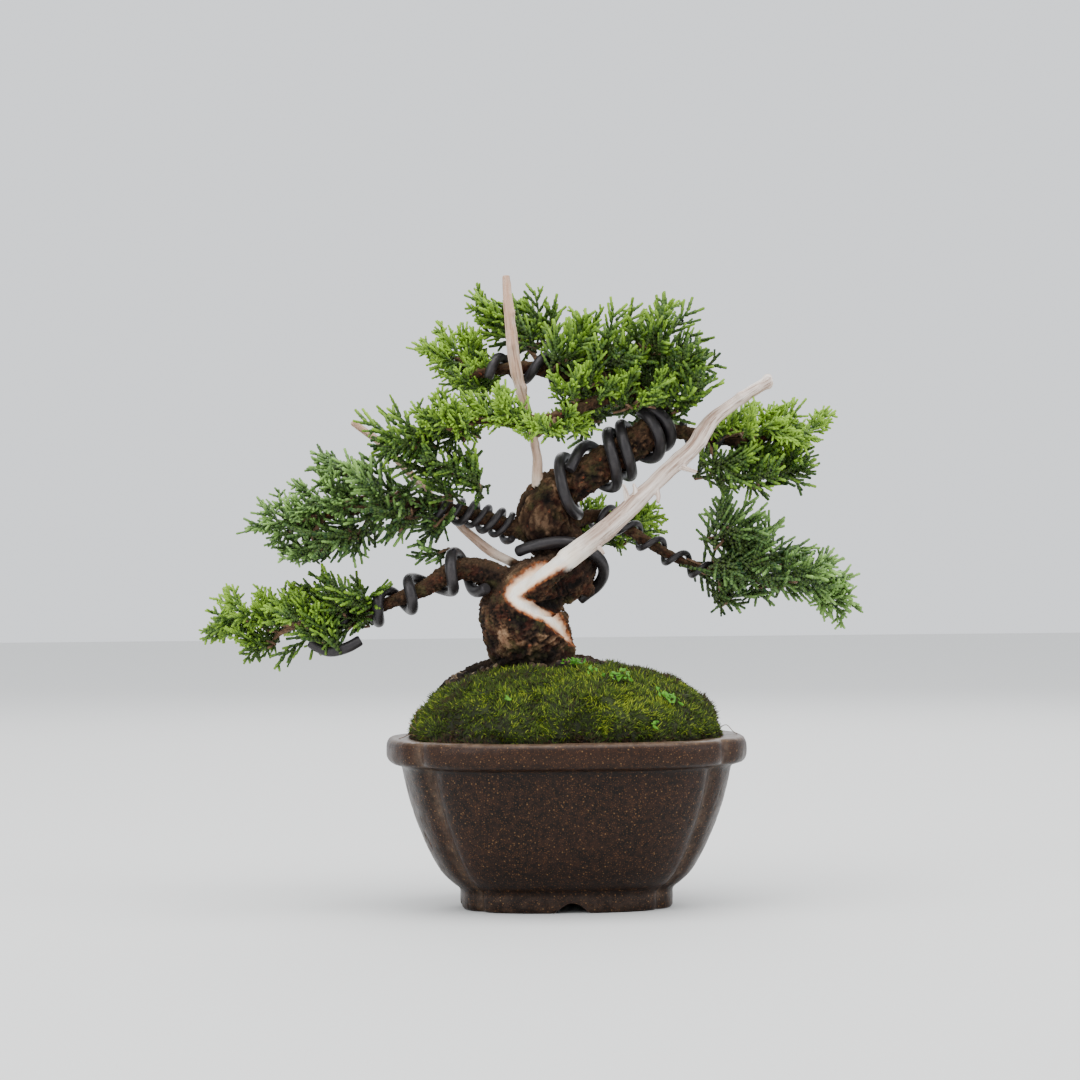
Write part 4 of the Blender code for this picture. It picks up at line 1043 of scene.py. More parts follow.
# %% Where the foliage grows
PADS = {
    "foliage_lower_left": dict(lean=(-1, 0, 0.02), limb="lower_left", clumps=[
        (-108, 2, 16.5, 12, 11, 5, 0.70, 13), (-92, 0, 16, 13, 17, 7, 0.60, 24),
        (-76, 1, 19, 11, 18, 8, 0.40, 20), (-101, 4, 7.5, 8, 9, 4, 0.62, 6),
        (-84, -6, 9, 9, 9, 4, 0.45, 8), (-68, -4, 22, 5, 6, 5, 0.42, 5)]),
    "foliage_left": dict(lean=(-1, -0.1, 0.10), limb="left", clumps=[
        (-94, -3, 48, 10, 13, 5, 0.66, 12), (-86, 0, 39, 9, 12, 4, 0.60, 8),
        (-79, -3, 55, 13, 18, 7, 0.60, 17), (-62, -3, 58, 12, 20, 7, 0.50, 16),
        (-73, -3, 44, 12, 20, 5, 0.42, 13), (-56, -4, 50, 11, 18, 5, 0.36, 10),
        (-76, -2, 66, 4, 6, 4, 0.56, 4), (-45, -6, 47, 6, 8, 4, 0.42, 4),
        (-44, -4, 37, 4, 5, 2, 0.50, 2)]),
    "foliage_middle": dict(lean=(-0.7, -0.35, 0.30), limb="middle", clumps=[
        (-52, -16, 76, 10, 11, 6, 0.42, 15), (-38, -17, 80, 11, 13, 6, 0.60, 18),
        (-42, -15, 67, 11, 12, 5, 0.30, 11), (-22, -17, 84, 10, 12, 4, 0.80, 14),
        (-8, -16, 79, 8, 10, 3, 0.82, 8), (-31, -18, 61, 7, 8, 4, 0.34, 6),
        (-42, -12, 57, 6, 8, 4, 0.32, 3)]),
    "foliage_crown_left": dict(lean=(-0.7, 0, 0.5), limb="crown_left", clumps=[
        (-36, 12, 105, 10, 12, 6, 0.84, 16), (-24, 14, 119, 6, 9, 6, 0.66, 9),
        (-15, 15, 111, 9, 14, 8, 0.50, 16), (-29, 13, 95, 9, 13, 5, 0.66, 12),
        (-8, 14, 116, 6, 11, 5, 0.50, 8)]),
    "foliage_crown": dict(lean=(0.45, -0.25, 0.5), limb="trunk", clumps=[
        (3, 2, 105, 10, 17, 7, 0.50, 14), (16, 3, 106, 12, 21, 9, 0.42, 20),
        (32, 4, 108, 12, 21, 9, 0.44, 20), (40, 4, 101, 9, 20, 8, 0.38, 14),
        (9, -4, 91, 11, 18, 6, 0.62, 14), (26, -5, 89, 12, 19, 6, 0.60, 15),
        (18, -3, 98, 12, 16, 5, 0.50, 8), (34, -3, 98, 10, 16, 5, 0.44, 6),
        (41, 0, 88, 9, 18, 6, 0.46, 11), (0, -6, 81, 7, 9, 4, 0.82, 7)]),
    "foliage_right_upper": dict(lean=(1, 0, 0.12), limb="right_upper", clumps=[
        (64, 6, 78, 13, 15, 4, 0.78, 18), (79, 8, 78, 9, 12, 4, 0.76, 12),
        (55, 8, 66, 10, 16, 5, 0.40, 15), (69, 8, 63, 11, 16, 5, 0.38, 16),
        (80, 8, 65, 7, 10, 4, 0.46, 7)]),
    "foliage_right_lower": dict(lean=(1, 0, -0.22), limb="right_lower", clumps=[
        (57, 4, 44, 9, 14, 7, 0.42, 15), (53, 5, 32, 8, 15, 6, 0.32, 12),
        (66, 5, 34, 11, 17, 8, 0.40, 22), (79, 4, 28, 11, 15, 6, 0.50, 18),
        (92, 3, 22, 7, 10, 4, 0.78, 9), (59, 5, 22, 8, 11, 5, 0.30, 8)]),
    "foliage_back": dict(lean=(0.4, 0.8, 0.15), limb="back", clumps=[
        (13, 36, 46, 12, 11, 5, 0.62, 14), (22, 41, 43, 10, 10, 5, 0.66, 12),
        (24, 32, 47, 9, 9, 4, 0.76, 8)]),
    "foliage_crown_back": dict(lean=(-0.1, 0.8, 0.4), limb="crown_back", clumps=[
        (20, 42, 92, 15, 9, 8, 0.50, 22), (10, 40, 86, 9, 8, 6, 0.44, 10),
        (31, 41, 86, 9, 8, 6, 0.44, 10)]),
}

print("pads:", len(PADS), "sprays:", sum(c[-1] for pad in PADS.values() for c in pad["clumps"]))

# %% [markdown]
# Sprays start inside their clump and point outward, upward and the way the pad reaches. A twig
# runs from the limb to the clump's hub, and more twigs from the hub to every second spray, so
# that nothing green hangs in the air.

# %% Grow the pads
twig_lines = {}
pads = []
for name, pad in PADS.items():
    shoots, twigs = [], []
    lean = unit(np.array(pad["lean"], float))
    limb_line = lines[pad["limb"]]
    for x, y, z, rx, ry, rz, green, number in pad["clumps"]:
        middle = np.array([x, y, z + COLLAR])
        half = np.array([rx, ry, rz])
        fine = green > 0.58
        inner_end = middle - lean * rx
        root = limb_line[np.linalg.norm(limb_line[:, :3] - inner_end, axis=1).argmin(), :3]
        hub = middle - lean * half * 0.35 - [0, 0, rz * 0.3]
        bow = (root + hub) / 2 + rng.normal(0, 1.2, 3)
        if np.linalg.norm(root - hub) < 14:
            twigs.append(np.array([[*root, 1.0], [*bow, 0.85], [*hub, 0.6]]))
        for k in range(number):
            spot = unit(rng.normal(0, 1, 3)) * rng.uniform(0.35, 1.0) ** 0.55
            outward = unit(spot / half * half.mean())
            direction = unit(lean * 0.75 + outward * 0.70 + np.array([0, 0, 0.24])
                             + rng.normal(0, 0.22, 3))
            length = rng.uniform(9.5, 13.5) if fine else rng.uniform(11.0, 16.0)
            start = middle + spot * half - direction * length * 0.55
            flat = unit(np.array([0, 0, 0.6]) + [0, -0.5, 0] + rng.normal(0, 0.35, 3) + outward * 0.3)
            # Shoots higher in a clump get a lighter tint: painted light from above.
            tint = green + 0.16 * spot[2] + rng.normal(0, 0.08)
            spray(shoots, start, direction, length, tint, flat, fine)
            for _ in range(1 + fine):
                out = unit(direction + rng.normal(0, 0.45, 3))
                foot = start + direction * length * rng.uniform(0.1, 0.7)
                shoots.append([*foot, *out, 0, 0, 0.05,
                               rng.uniform(5.0, 8.5), rng.uniform(0.5, 0.62), tint - 0.06, 0.9])
            if k % 2 == 0:
                mid = (hub + start) / 2 + rng.normal(0, 0.8, 3)
                twigs.append(np.array([[*hub, 0.6], [*mid, 0.5], [*start, 0.42]]))
    shoots = np.array(shoots)
    shoots[:, 11] = np.clip(shoots[:, 11], 0.02, 0.98)
    made = shoots_mesh("shoots_" + name, shoots)
    pads.append((name, made))
    twig_lines[name] = twigs
    print(name, "shoots:", len(shoots), "triangles:", 2 * len(made.data.polygons))

# %% [markdown]
# A shoot is dark at its base and light at its growing tip, and each scale has a paler edge. The
# near-black bases, deep in the pads, are partly the shoots' own colour and partly painted shade
# inside the pads, and shoots higher in a clump are painted lighter, as if lit from above. The
# shoots nearest the light are yellow green, while the shaded pads are bluer. One texture over all
# of it would miss that, so each point carries its own tint, and two greens share one graph.

# %% Foliage and twig materials
def green_material(name, dark, middle_green, light):
    """A scale-leaf green from the base's colour to the tip's."""
    g = Graph(name)
    level = g.plus(g.times(g.attribute("tint"), 0.62), g.times(g.attribute("tip"), 0.42))
    # Low levels, at the shoots' bases inside the pads, go near black: partly own colour, partly
    # painted shade.
    colour = g.ramp(level, (0.17, dark), (0.50, middle_green), (0.86, light))
    colour = g.mix(g.times(g.attribute("edge"), 0.25), colour, rgb(140, 172, 80))
    return g.surface(colour, 0.45, Specular_IOR_Level=0.22)


warm_green = green_material("juniper_green", rgb(4, 9, 3), rgb(30, 62, 14), rgb(138, 178, 52))
cool_green = green_material("juniper_green_cool", rgb(4, 10, 6), rgb(30, 60, 26), rgb(136, 176, 92))
SHADED_PADS = ("foliage_left", "foliage_right_lower", "foliage_crown_back")
g = Graph("twig_bark")
twig_brown = g.ramp(g.noise(1.2, 3), (0.3, rgb(60, 42, 30)), (0.7, rgb(136, 104, 76)))
twig_bark = g.surface(twig_brown, 0.8)
for name, made in pads:
    twig_paths = [evenly(smooth_line(twig, 5), 2.0) for twig in twig_lines[name]]
    points, faces = joined(*zip(*(sweep(path, 6) for path in twig_paths if len(path) > 2)))
    dress(make_mesh("twigs_" + name, tree_to_frame(points), faces), twig_bark, "wood")
    dress(made, cool_green if name in SHADED_PADS else warm_green, "foliage", name)
print("foliage pieces:", len(pads))

# %% [markdown]
# ## Training wire
# Soft anodised wire is wound round a limb to set its bend. It is wound by hand, so each coil hugs
# the bark without being perfectly even. A screw modifier would give a perfect helix round a
# straight axis, and these limbs are neither straight nor round. So a path is typed as distances
# along the limb and angles round it, is pushed out of anything that it runs into, and is relaxed
# between pushes, which keeps it as smooth as bent wire.

# %% Where the wires run
def coils(start, end, pitch, top):
    """(along, angle) pairs of an even winding that passes over the limb at `top`."""
    return [(a, -360 * (a - top) / pitch) for a in np.linspace(start, end, 12)]


WIRES = {  # limb, diameter, (distance along the limb, angle round it)
    "wire_lower_left_branch": ("lower_left", 3.9, [
        (10, 225), (13, 180), (18, 90), (22, 0), (24.5, -90), (27, -180), (33, -270), (38.5, -360),
        (38.5, -450), (41.5, -540), (45, -630), (48, -720), (51, -810), (54, -900), (57, -990),
        (61, -1080), (65, -1170)]),
    "wire_upper_trunk": ("trunk", 3.9, [
        (91.5, 110), (94, 50), (97, -10), (100, -70), (103.5, -160), (108.5, -250), (114, -340),
        (118.5, -430), (122, -520), (126, -610), (130.5, -700), (134.5, -790), (137.5, -870)]),
    "wire_upper_trunk_second": ("trunk", 3.9, [
        (104.5, -104), (107.5, -122), (111, -150), (114.5, -190), (117.5, -262), (120.5, -340),
        (123.2, -430), (127, -520), (131, -610), (135, -700), (138.5, -790), (141, -860)]),
    "wire_left_branch": ("left", 2.5, coils(9, 38, 9, 14.7)),
    "wire_left_branch_second": ("left", 2.1, coils(10, 34, 9, 19.2)),
    "wire_crown_left_branch": ("crown_left", 3.4, coils(22, 62, 14.5, 43)),
    "wire_right_upper_branch": ("right_upper", 2.0, coils(12, 32, 7.9, 13)),
    "wire_right_lower_branch": ("right_lower", 2.1, coils(16, 62, 9.8, 41.5)),
}
BEND_WIRE = [  # x, y, height above the moss
    (-15.6, -1.5, 37.2), (-12, -3.6, 38.6), (-5, -4.8, 40.2), (2, -4.8, 40.2), (7.0, -3.6, 38.0),
    (10.4, 0.4, 34.4), (11.0, 4.6, 29.4), (9.4, 7.4, 24.6), (5, 8.5, 20.8),
]
TAIL_WIRE = [(-85, -5, 7.5), (-79, -6.5, 4.6), (-73, -7, 5.6), (-68, -6.5, 8.2)]
BEND_DIAMETER, TAIL_DIAMETER = 3.9, 3.7
print("wound wires:", len(WIRES))

# %% Wind and relax
def push_out(path, radius):
    """Moves wire points off the bark, wherever they are too near a limb."""
    for start in range(0, len(path), BATCH):
        part = path[start:start + BATCH]
        gap = np.linalg.norm(part[:, None] - centre[None], axis=2) - radius_of[None]
        worst = gap.argmin(axis=1)
        depth = gap[np.arange(len(part)), worst]
        away = unit(part - centre[worst])
        path[start:start + BATCH] = part + away * np.maximum(radius + 0.35 - depth, 0)[:, None]
    return path


def relax(path, radius):
    """Smooths a path and pushes it off the bark, by turns."""
    for _ in range(14):
        path[1:-1] = 0.5 * path[1:-1] + 0.25 * (path[:-2] + path[2:])
        path = push_out(path, radius)
    return path


def wound(limb_name, diameter, pairs):
    """A wire's centre line round a limb, through its (distance, angle) pairs."""
    line = lines[limb_name]
    _, ups, sides = frames(line)
    along = np.arange(len(line)) * SPACING
    pairs = smooth_line([(s, angle, 0.0) for s, angle in pairs], 24)
    s, angle = pairs[:, 0], np.radians(pairs[:, 1])
    at, up, side = (np.stack([np.interp(s, along, column) for column in rows.T], axis=1)
                    for rows in (line, ups, sides))
    slack = 0.15 + 0.6 * np.clip(noise(np.stack([s, s * 0 + 5, s * 0], axis=1), 6, 62, 1), 0, 1)
    reach = (at[:, 3] + diameter / 2 + slack)[:, None]
    outward = unit(up) * np.cos(angle)[:, None] + unit(side) * np.sin(angle)[:, None]
    return at[:, :3] + reach * outward


def wire_tube(name, path, diameter):
    """A tube along a path, with a flat cut at each end."""
    line = evenly(np.hstack([path, np.full((len(path), 1), diameter / 2)]), 0.6)
    line[0, 3] *= 0.86
    line[-1, 3] *= 0.86
    points, faces = sweep(line, 18)
    made = make_mesh(name + "_wound", tree_to_frame(points), faces)
    made.data.set_sharp_from_angle(angle=math.radians(50))
    return made


def placed(points):
    """A line typed in the tree's own heights, smoothed and lifted onto the moss."""
    path = smooth_line(points, 12)
    path[:, 2] += COLLAR
    return path


print("points on a wire:", len(wound(*WIRES["wire_left_branch"])))

# %% Wire metal, and the wires
g = Graph("anodised_aluminium")
scuff = g.ramp(g.noise(2.5, 5, 0.65), (0.45, 0.0), (0.85, 0.5))
colour = g.mix(scuff, rgb(42, 39, 41), rgb(78, 72, 70))
sheen = g.ramp(g.noise(1.4, 4, 0.6), (0.3, 0.34), (0.75, 0.5))
anodised = g.surface(colour, sheen, Metallic=0.4, Specular_IOR_Level=0.5)
for name, (limb_name, diameter, pairs) in WIRES.items():
    path = relax(evenly(wound(limb_name, diameter, pairs), 1.0), diameter / 2)
    dress(wire_tube(name, path, diameter), anodised, "anodised_wire", name)
bend_path = relax(placed(BEND_WIRE), BEND_DIAMETER / 2)
bend = wire_tube("wire_trunk_bend", bend_path, BEND_DIAMETER)
dress(bend, anodised, "anodised_wire", "wire_trunk_bend")
dress(wire_tube("wire_tail", placed(TAIL_WIRE), TAIL_DIAMETER), anodised, "anodised_wire")
print("wires:", len(WIRES) + 2)

# %% [markdown]
# ## Moss
# Moss is laid over the soil in pieces, pressed down, and grows into one lumpy cushion. Its outline
# follows the pot, it comes up steeply from inside the lip, and two ridges of root and bare soil
# run down from the trunk. A subdivided ball could be sculpted to it. Drawing it as rings of the
# pot's own outline keeps it inside the lip, and noise gives the lumps.

# %% Moss bed
MOSS_TOP, MOSS_FOOT = COLLAR - 0.9, 55.0
ROUND = 2.3  # how boxy the mound's section is: 2 would be an ellipse
MOSS_AROUND = 320
levels = np.concatenate([[-0.10], np.linspace(0.0, math.pi / 2, 100)])
outline_x, outline_y, _ = lobed(9.0, 1.2, MOSS_AROUND)
bed = []
for level in levels:
    share = math.cos(max(level, 0)) ** (2 / ROUND) * (0.955 if level < 0 else 1)
    rise = math.sin(max(level, 0)) ** (2 / ROUND)
    height = MOSS_FOOT + (MOSS_TOP - MOSS_FOOT) * rise + min(level, 0) * 20
    bed.append(np.stack([outline_x * share + 0.8 * (1 - share), outline_y * share,
                         np.full(MOSS_AROUND, height)], axis=1))
bed = np.concatenate(bed)
bed_faces = grid_faces(len(levels), MOSS_AROUND)
moss_bed = make_mesh("moss_bed", bed * MM, bed_faces)
outward = normals_of(moss_bed.data)
if (outward * (bed - [0, 0, 50])).sum() < 0:
    moss_bed.data.flip_normals()
    outward = -outward
trunk_foot = np.array([*(turn @ [-8.0, 1.0, 0])[:2], 0])
print("moss bed points:", len(bed))

# %% Lumps and bare ridges
def dirt_share(p):
    """How bare the mound is: two ridges of root and soil run down from the trunk's foot."""
    foot_gap = np.linalg.norm((p - trunk_foot) * [1, 1, 0], axis=1)
    x, y = p[:, 0], p[:, 1]
    left = np.exp(-((y - 3) / 6.5) ** 2) * smoothstep(-8, -14, x) * smoothstep(-45, -38, x)
    right = np.exp(-((y - 2) / 5.5) ** 2) * smoothstep(-2, 4, x) * smoothstep(21, 13, x)
    near_trunk = smoothstep(16.5, 13, foot_gap)
    return np.clip(np.maximum(left, right) + near_trunk + 0.25 * noise(p, 3, 78, 2), 0, 1)


lumps = 1.5 * noise(bed, 14, 71, 2) + 1.4 * noise(bed, 5.5, 72, 2) + 0.8 * noise(bed, 2.2, 73, 2)
dirt = dirt_share(bed)
lumps = (lumps * smoothstep(MOSS_FOOT - 1, MOSS_FOOT + 6, bed[:, 2])
         + dirt * (0.9 + 1.6 * noise(bed, 2.6, 79, 2)))
bed = bed + outward * lumps[:, None]
set_coords(moss_bed.data, to_frame(bed))
print("bare soil on the mound:", round(float((dirt > 0.5).mean()), 3))

# %% [markdown]
# Moss is greenest where water lingers, on the front of the mound. It is brown where it dries out,
# in patches along the right-hand ridge, and olive between. Both the bed and the stems on it read
# the same functions, so that a brown stem never stands on a green bed.

# %% Moss colours
def dryness(p):
    """Where the moss has dried to rusty brown: in patches along the right-hand ridge."""
    x, y, z = p.T
    ridge = np.exp(-((y + 3) / 7.5) ** 2) * smoothstep(16, 34, x) * smoothstep(57, 63, z)
    return ridge * smoothstep(-0.35, 0.25, noise(p, 6, 80, 2))


def moss_tint(p):
    """How green the moss is: 0 for dry brown, 0.5 for olive and 1 for fresh green."""
    t = 0.50 + 0.26 * noise(p, 10, 74, 2) + 0.24 * noise(p, 3.2, 75, 2)
    t += 0.22 * np.exp(-(((p[:, 0] - 13) / 17) ** 2 + ((p[:, 2] - 69) / 9) ** 2))
    t -= 0.55 * smoothstep(60.5, 56.5, p[:, 2]) * (0.6 + 0.6 * noise(p, 6, 76, 2))
    t -= 0.60 * dryness(p)
    return np.clip(t, 0, 1)


set_attribute(moss_bed.data, "tint", moss_tint(bed))
set_attribute(moss_bed.data, "dirt", dirt)
g = Graph("moss_bed")
base_green = g.ramp(g.attribute("tint"), (0.05, rgb(26, 20, 11)), (0.45, rgb(32, 38, 10)),
                    (0.9, rgb(56, 70, 18)))
base_green = g.mix(g.ramp(g.noise(0.8, 4, 0.7), (0.35, 0.7), (0.6, 0.0)), base_green, rgb(12, 12, 5))
soil_tone = g.ramp(g.noise(1.4, 5, 0.7), (0.3, rgb(18, 12, 10)), (0.55, rgb(48, 34, 27)),
                   (0.8, rgb(92, 68, 52)))
g.bump(g.noise(0.9, 4, 0.7), 0.9, 0.7)
dress(moss_bed, g.surface(g.mix(g.attribute("dirt"), base_green, soil_tone), 0.95), "moss", "moss")
print("moss bed dressed, greenness from", np.round(np.quantile(moss_tint(bed), [0.05, 0.95]), 2))

# %% [markdown]
# Close up, the cushion is thousands of short pointed stems, in tufts that lean together. Hair
# particles would look much the same, but they aren't mesh, so they would be lost from the model.
# Each stem is one thin three-sided spike, which is cheap enough to have tens of thousands. Tufts
# are thrown on the bed by area, and are left off where the soil is bare.

# %% Where the tufts stand
quads = bed[bed_faces]
area_vectors = np.cross(quads[:, 1] - quads[:, 0], quads[:, 3] - quads[:, 0])
area = np.linalg.norm(area_vectors, axis=1)
facing = unit(area_vectors)
facing *= np.sign((facing * (quads.mean(axis=1) - [0, 0, 40])).sum(axis=1))[:, None]
area[quads[:, :, 2].mean(axis=1) < MOSS_FOOT] *= 0.4
tufts = 16500
pick = rng.choice(len(quads), tufts, p=area / area.sum())
a, b = rng.random((2, tufts, 1))
lower_edge = quads[pick, 0] * (1 - a) + quads[pick, 1] * a
upper_edge = quads[pick, 3] * (1 - a) + quads[pick, 2] * a
spot = lower_edge * (1 - b) + upper_edge * b
keep = dirt_share(spot) < rng.uniform(0.25, 0.75, tufts)
spot, facing_here = spot[keep], facing[pick][keep]
swirl = np.stack([noise(spot, 7, 82 + k, 2) for k in range(3)], axis=1)
swirl = unit(swirl - facing_here * (swirl * facing_here).sum(axis=1)[:, None])
dry = dryness(spot)
print("tufts:", len(spot))

# %% Moss stems
STEMS_PER_TUFT = 4
stems = []
for _ in range(STEMS_PER_TUFT):
    flat = rng.uniform(0.4, 1.5, (len(spot), 1)) * (1 - 0.6 * dry[:, None])
    lean = unit(facing_here + swirl * flat + rng.normal(0, 0.60, spot.shape) + [0, 0, 0.20])
    foot = spot + rng.normal(0, 0.25, spot.shape) - facing_here * 0.4
    tall = rng.uniform(1.5, 3.2, len(spot)) * (0.8 + 0.3 * noise(spot, 5, 77, 1))
    tall = tall * (1 + 0.35 * dry * rng.random(len(spot)))
    fresh = np.where(rng.random(len(spot)) < 0.07, 0.35, 0.0) * (1 - dry)
    stems.append((foot, lean, tall, moss_tint(spot) + rng.normal(0, 0.17, len(spot)) + fresh))
foot, lean, tall, tint = (np.concatenate(values) for values in zip(*stems))
tint = np.clip(tint, 0, 1)
other = unit(np.cross(lean, unit(rng.normal(0, 1, lean.shape))))
third = np.cross(lean, other)
count = len(foot)
thick = rng.uniform(0.22, 0.38, (count, 1))
corners = [(math.cos(k * 2.0944), math.sin(k * 2.0944)) for k in range(3)]  # a third of a turn apart
verts = [foot + (other * c + third * s) * thick for c, s in corners]
verts = np.stack([*verts, foot + lean * tall[:, None]], axis=1)
faces = repeated(np.array([(0, 1, 3), (1, 2, 3), (2, 0, 3)]), 4, count)
tip = np.tile([0, 0, 0, 1.0], count)
moss_stems = make_mesh("moss_stems", to_frame(verts.reshape(-1, 3)), faces,
                       {"tint": np.repeat(tint, 4), "tip": tip})
beside = np.tile([0, 0.012, 0.024, 0.012], count)
place_across = np.clip(0.03 + 0.92 * np.repeat(tint, 4) + beside, 0, 1)
paint_map(moss_stems, place_across, 0.03 + 0.94 * tip)
print("moss stems:", count, "triangles:", len(faces))

# %% Moss stem material
g = Graph("moss_stems")
stem = g.ramp(g.attribute("tint"), (0.04, rgb(66, 40, 26)), (0.22, rgb(52, 44, 12)),
              (0.46, rgb(46, 62, 4)), (0.72, rgb(76, 100, 6)), (1.0, rgb(150, 164, 38)))
# Painted shade: each stem is darkened towards its foot, down among the other stems.
stem = g.mix(g.ramp(g.attribute("tip"), (0.0, 0.9), (0.7, 0.0)), stem, rgb(16, 18, 6))
dress(moss_stems, g.surface(stem, 0.65, Specular_IOR_Level=0.25), "moss")
print("moss stems dressed")

# %% [markdown]
# ## Small things
# Bonsai soil is a mix of fired clay grains and grit, so each grain has its own tone. It shows in
# the gap by the lip and as clods on the bare ridges. Bump alone would look like paint there, so
# loose grains are real little stones: a ball, pushed about by noise, stretched and turned.

# %% Soil material and a stone
g = Graph("potting_soil")
grain_cells = g.cells(1.6)
soil_colour = g.ramp(g.one_number(grain_cells), (0.1, rgb(30, 21, 16)), (0.5, rgb(58, 42, 31)),
                     (0.8, rgb(88, 68, 50)), (0.97, rgb(150, 128, 98)))
g.bump(grain_cells.outputs["Distance"], 0.9, -0.6)
soil_material = g.surface(soil_colour, 0.92)
dress(nodes["soil"], soil_material, "soil")

ball = bmesh.new()
bmesh.ops.create_icosphere(ball, subdivisions=2, radius=1)
ball_points = np.array([list(v.co) for v in ball.verts])
ball_faces = np.array([[v.index for v in f.verts] for f in ball.faces])
ball.free()


def gather(name, parts, part_faces):
    """One mesh from many small things, placed in the frame."""
    points, faces = joined(parts, part_faces)
    return make_mesh(name, to_frame(points), faces)


def stones(middles, sizes, seed):
    """Small lumpy stones, one for each middle and size."""
    made = []
    for i, (middle, size) in enumerate(zip(middles, sizes)):
        spin = np.linalg.qr(rng.normal(0, 1, (3, 3)))[0]
        shape = ball_points * (1 + 0.26 * noise(ball_points + i * 7.3, 0.9, seed, 2))[:, None]
        made.append(shape * rng.uniform(0.6, 1.25, 3) @ spin.T * size + middle)
    return made


print("points on a stone:", len(ball_points))

# %% Soil grains and clods
ring_x, ring_y, _ = lobed(0, 0, 720)
grain_count = 520
where = rng.integers(0, 720, grain_count)
inset = rng.uniform(9.8, 12.0, grain_count)
inward = 1 - inset / np.hypot(ring_x[where], ring_y[where])
grain_places = np.stack([ring_x[where] * inward, ring_y[where] * inward,
                         rng.uniform(54.0, 55.8, grain_count)], axis=1)
grains = stones(grain_places, rng.uniform(0.4, 0.95, grain_count), 81)
off_trunk = np.linalg.norm((bed - trunk_foot) * [1, 1, 0], axis=1) > 9
bare_points = bed[(dirt_share(bed) > 0.55) & off_trunk]
clod_places = bare_points[rng.integers(0, len(bare_points), 330)]
clods = stones(clod_places + rng.normal(0, 0.3, clod_places.shape),
               rng.uniform(0.4, 1.5, len(clod_places)) ** 1.2, 83)
soil_grains = gather("soil_grains", grains + clods, [ball_faces] * len(grains + clods))
dress(soil_grains, soil_material, "soil")
print("grains:", len(grains), "clods:", len(clods))

# %% [markdown]
# A few weed seedlings have come up through the moss, each a cluster of small round leaves. They
# could be planes, but a leaf with some thickness and a cupped middle catches the light better, so
# each is the same ball, flattened, narrowed towards its tip and bent up at both ends.

# %% Seedlings
SEEDLINGS = (  # x and height of the cluster on the front of the mound, leaves, spread
    (2.0, 80, 30, 3.2), (16.5, 76, 26, 4.0), (29, 70, 26, 4.2),
    (9, 78, 6, 2.4), (-22, 70, 3, 1.6), (24, 62, 5, 2.0),
)

nearest_bed = KDTree(len(bed))
for i, p in enumerate(bed):
    nearest_bed.insert(p, i)
nearest_bed.balance()
leaves = []
for x, z, number, spread in SEEDLINGS:
    front = bed[(np.abs(bed[:, 0] - x) < 2.5) & (bed[:, 1] < 0)]
    home = front[np.abs(front[:, 2] - z).argmin()]
    for _ in range(number):
        middle = home + rng.normal(0, spread / 2, 3) * [1, 0.6, 0.4]
        near = bed[nearest_bed.find(middle)[1]]
        middle = near + unit(near - [0, 0, 45]) * rng.uniform(1.6, 3.4)
        normal = unit(unit(near - [0, 0, 40]) + [0, -0.5, 0.2] + rng.normal(0, 0.6, 3))
        u = unit(np.cross(normal, rng.normal(0, 1, 3)))
        shape = ball_points * [rng.uniform(0.7, 1.25), rng.uniform(0.32, 0.48), 0.08]
        shape[:, 1] *= 1 - 0.45 * ball_points[:, 0]
        shape[:, 2] += 0.12 * shape[:, 0] ** 2
        leaves.append(shape @ np.stack([u, np.cross(normal, u), normal]) + middle)
seedlings = gather("seedlings", leaves, [ball_faces] * len(leaves))
g = Graph("seedling_leaf")
leaf_green = g.ramp(g.noise(2, 3), (0.3, rgb(46, 104, 16)), (0.7, rgb(98, 156, 34)))
dress(seedlings, g.surface(leaf_green, 0.5, Specular_IOR_Level=0.25), "moss")
print("seedling leaves:", len(leaves))

# %% [markdown]
# Root hairs work their way out over the lip. They are thinner than a pencil line, so a smooth
# line with a little noise and a five-sided tube is all that each needs.

# %% Root hairs
HAIRS = (  # x, y, height above the table
    [(-48, -6, 58), (-50.5, -8, 62), (-50, -9, 66), (-47, -9, 67)],
    [(-49, -12, 57), (-52, -12, 58.6), (-54.5, -12, 57.8), (-56, -11, 57.3)],
    [(-47, -14, 58), (-50.6, -15, 60.4), (-53, -14, 62.6)],
    [(50, -6, 58), (53, -8, 60.4), (55.5, -8, 58.2), (57, -7, 57.5)],
    [(48, 10, 59), (51, 12, 61), (53, 13, 59)],
    [(-10, 38, 60), (-12, 42, 60.6), (-15, 44, 57.6)],
)
HAIR_RADIUS = 0.14
hair_points, hair_faces = [], []
for hair in HAIRS:
    line = evenly(smooth_line([(*p, HAIR_RADIUS) for p in hair], 8), 0.7)
    line[:, :3] += 0.25 * np.stack([noise(line[:, :3], 2, 90 + k, 1) for k in range(3)], axis=1)
    points, faces = sweep(line, 5)
    hair_points.append(points)
    hair_faces.append(faces)
dress(gather("root_hairs", hair_points, hair_faces), twig_bark, "wood")
print("root hairs:", len(HAIRS))

# %% [markdown]
# Under the soil, a plastic screen held by a wire clip covers each drain hole, and one wire ties
# the roots down through the floor. These show only from below, and the CAD shapes are right, so
# they stay as they are and only get their finish.

# %% Screens, clips and tie wire
g = Graph("plastic_mesh")
screen = g.surface(g.ramp(g.noise(3, 3), (0.3, rgb(20, 20, 20)), (0.7, rgb(36, 35, 34))), 0.6)
for name in ("drain_screen_left", "drain_screen_right"):
    dress(nodes[name], screen, "screen_mesh")
for name in ("screen_clip_left", "screen_clip_right", "tie_wire"):
    dress(nodes[name], anodised, "anodised_wire")
print("fittings dressed: 5")

# %% [markdown]
# ## The studio
# The pot stands on plain pale paper. A curved backdrop could hide the far edge, but the edge is
# part of the view here, so the floor is a single flat sheet, and the world behind it is pale too.

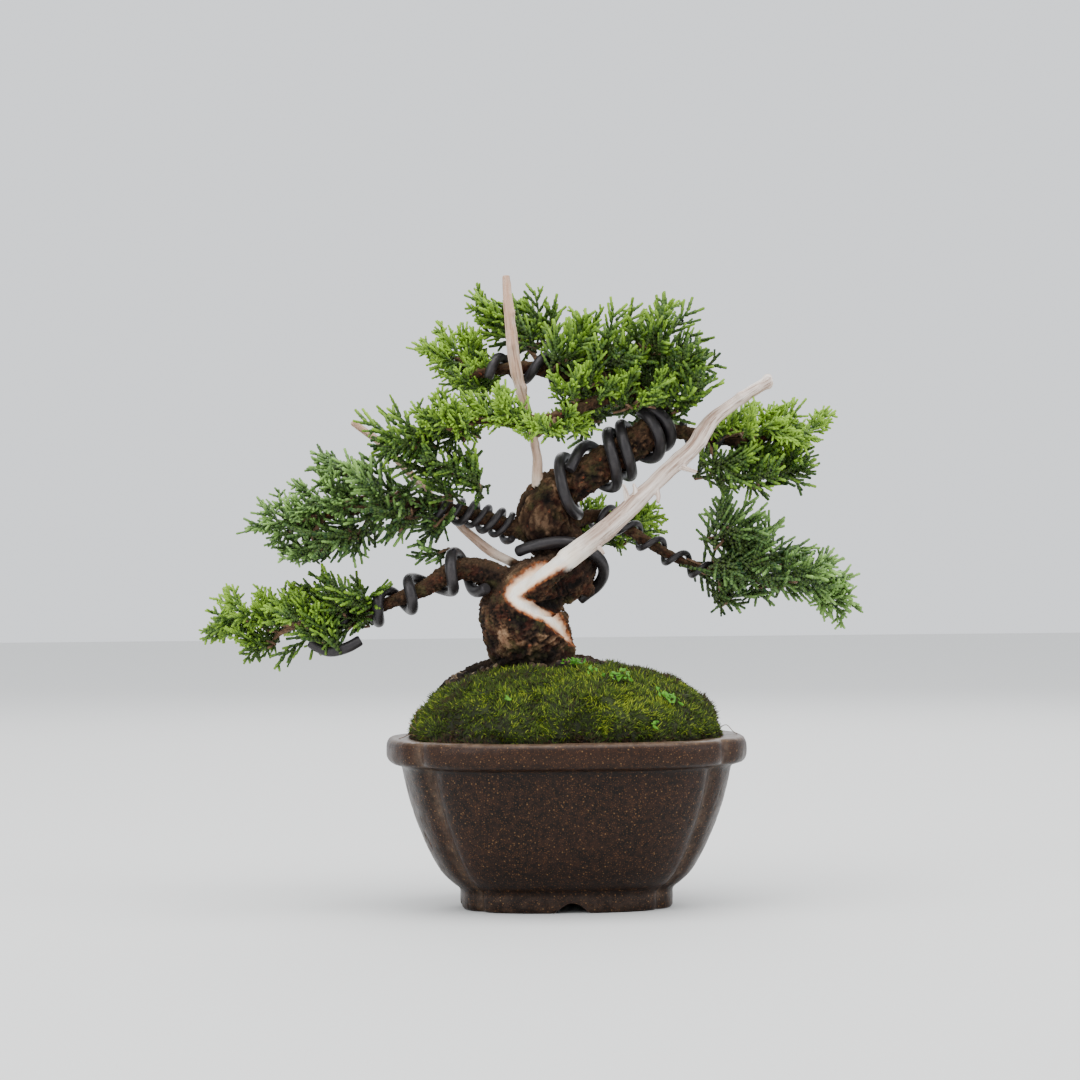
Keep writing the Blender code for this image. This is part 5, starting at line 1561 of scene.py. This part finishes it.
# %% Floor and backdrop
floor_data = bpy.data.meshes.new("floor")
floor_data.from_pydata([(-3, -3, 0), (3, -3, 0), (3, 3, 0), (-3, 3, 0)], [], [(0, 1, 2, 3)])
floor = bpy.data.objects.new("floor", floor_data)
bpy.context.scene.collection.objects.link(floor)
paper = Graph("paper")
floor_data.materials.append(paper.surface(rgb(222, 222, 220), 0.9))

world = bpy.data.worlds.new("studio")
bpy.context.scene.world = world
world.use_nodes = True
world.node_tree.nodes["Background"].inputs["Color"].default_value = (0.93, 0.96, 1.0, 1)
world.node_tree.nodes["Background"].inputs["Strength"].default_value = 1.3
print("floor:", [round(side, 2) for side in floor.dimensions], "m")

# %% [markdown]
# Daylight comes mostly from above and evenly from both sides. One sun would throw hard shadows,
# so four large soft panels are used: a wide one overhead, one to each side and one behind. The
# camera looks from the front, a little above the soil, through a long lens that keeps the pot's
# sides nearly parallel. It rolls a hair, because the pot stands a hair out of level.

# %% Light and camera
def lamp(name, place, aim, size, power):
    """A soft panel of light that faces a point."""
    data = bpy.data.lights.new(name, "AREA")
    data.shape = "RECTANGLE"
    data.size, data.size_y = size
    data.energy = power
    made = bpy.data.objects.new(name, data)
    bpy.context.scene.collection.objects.link(made)
    made.location = place
    made.rotation_euler = (Vector(aim) - Vector(place)).to_track_quat("-Z", "Y").to_euler()
    return made


lamp("sky", (0.05, -0.25, 1.15), (0, 0, 0.1), (1.3, 1.0), 15)
lamp("window_left", (-1.0, -0.9, 0.75), (0, 0, 0.12), (0.8, 0.8), 7)
lamp("window_right", (1.1, -0.5, 0.6), (0, 0, 0.12), (0.7, 0.8), 4)
lamp("back", (0.2, 1.1, 0.8), (0, 0, 0.12), (0.9, 0.6), 6)

SENSOR, VIEW_ANGLE = 36, 18.75
camera_data = bpy.data.cameras.new("camera")
camera_data.sensor_width = SENSOR
camera_data.lens = SENSOR / 2 / math.tan(math.radians(VIEW_ANGLE) / 2)
camera = bpy.data.objects.new("camera", camera_data)
bpy.context.scene.collection.objects.link(camera)
camera.location = Vector(tree_to_frame(np.array([[-8.04, -1096, 122.6]]))[0])
camera.rotation_euler = (math.radians(90), math.radians(0.42), TREE_TURN)
bpy.context.scene.camera = camera
camera_data.clip_start = 0.01
print("camera lens (mm):", round(camera_data.lens, 1))
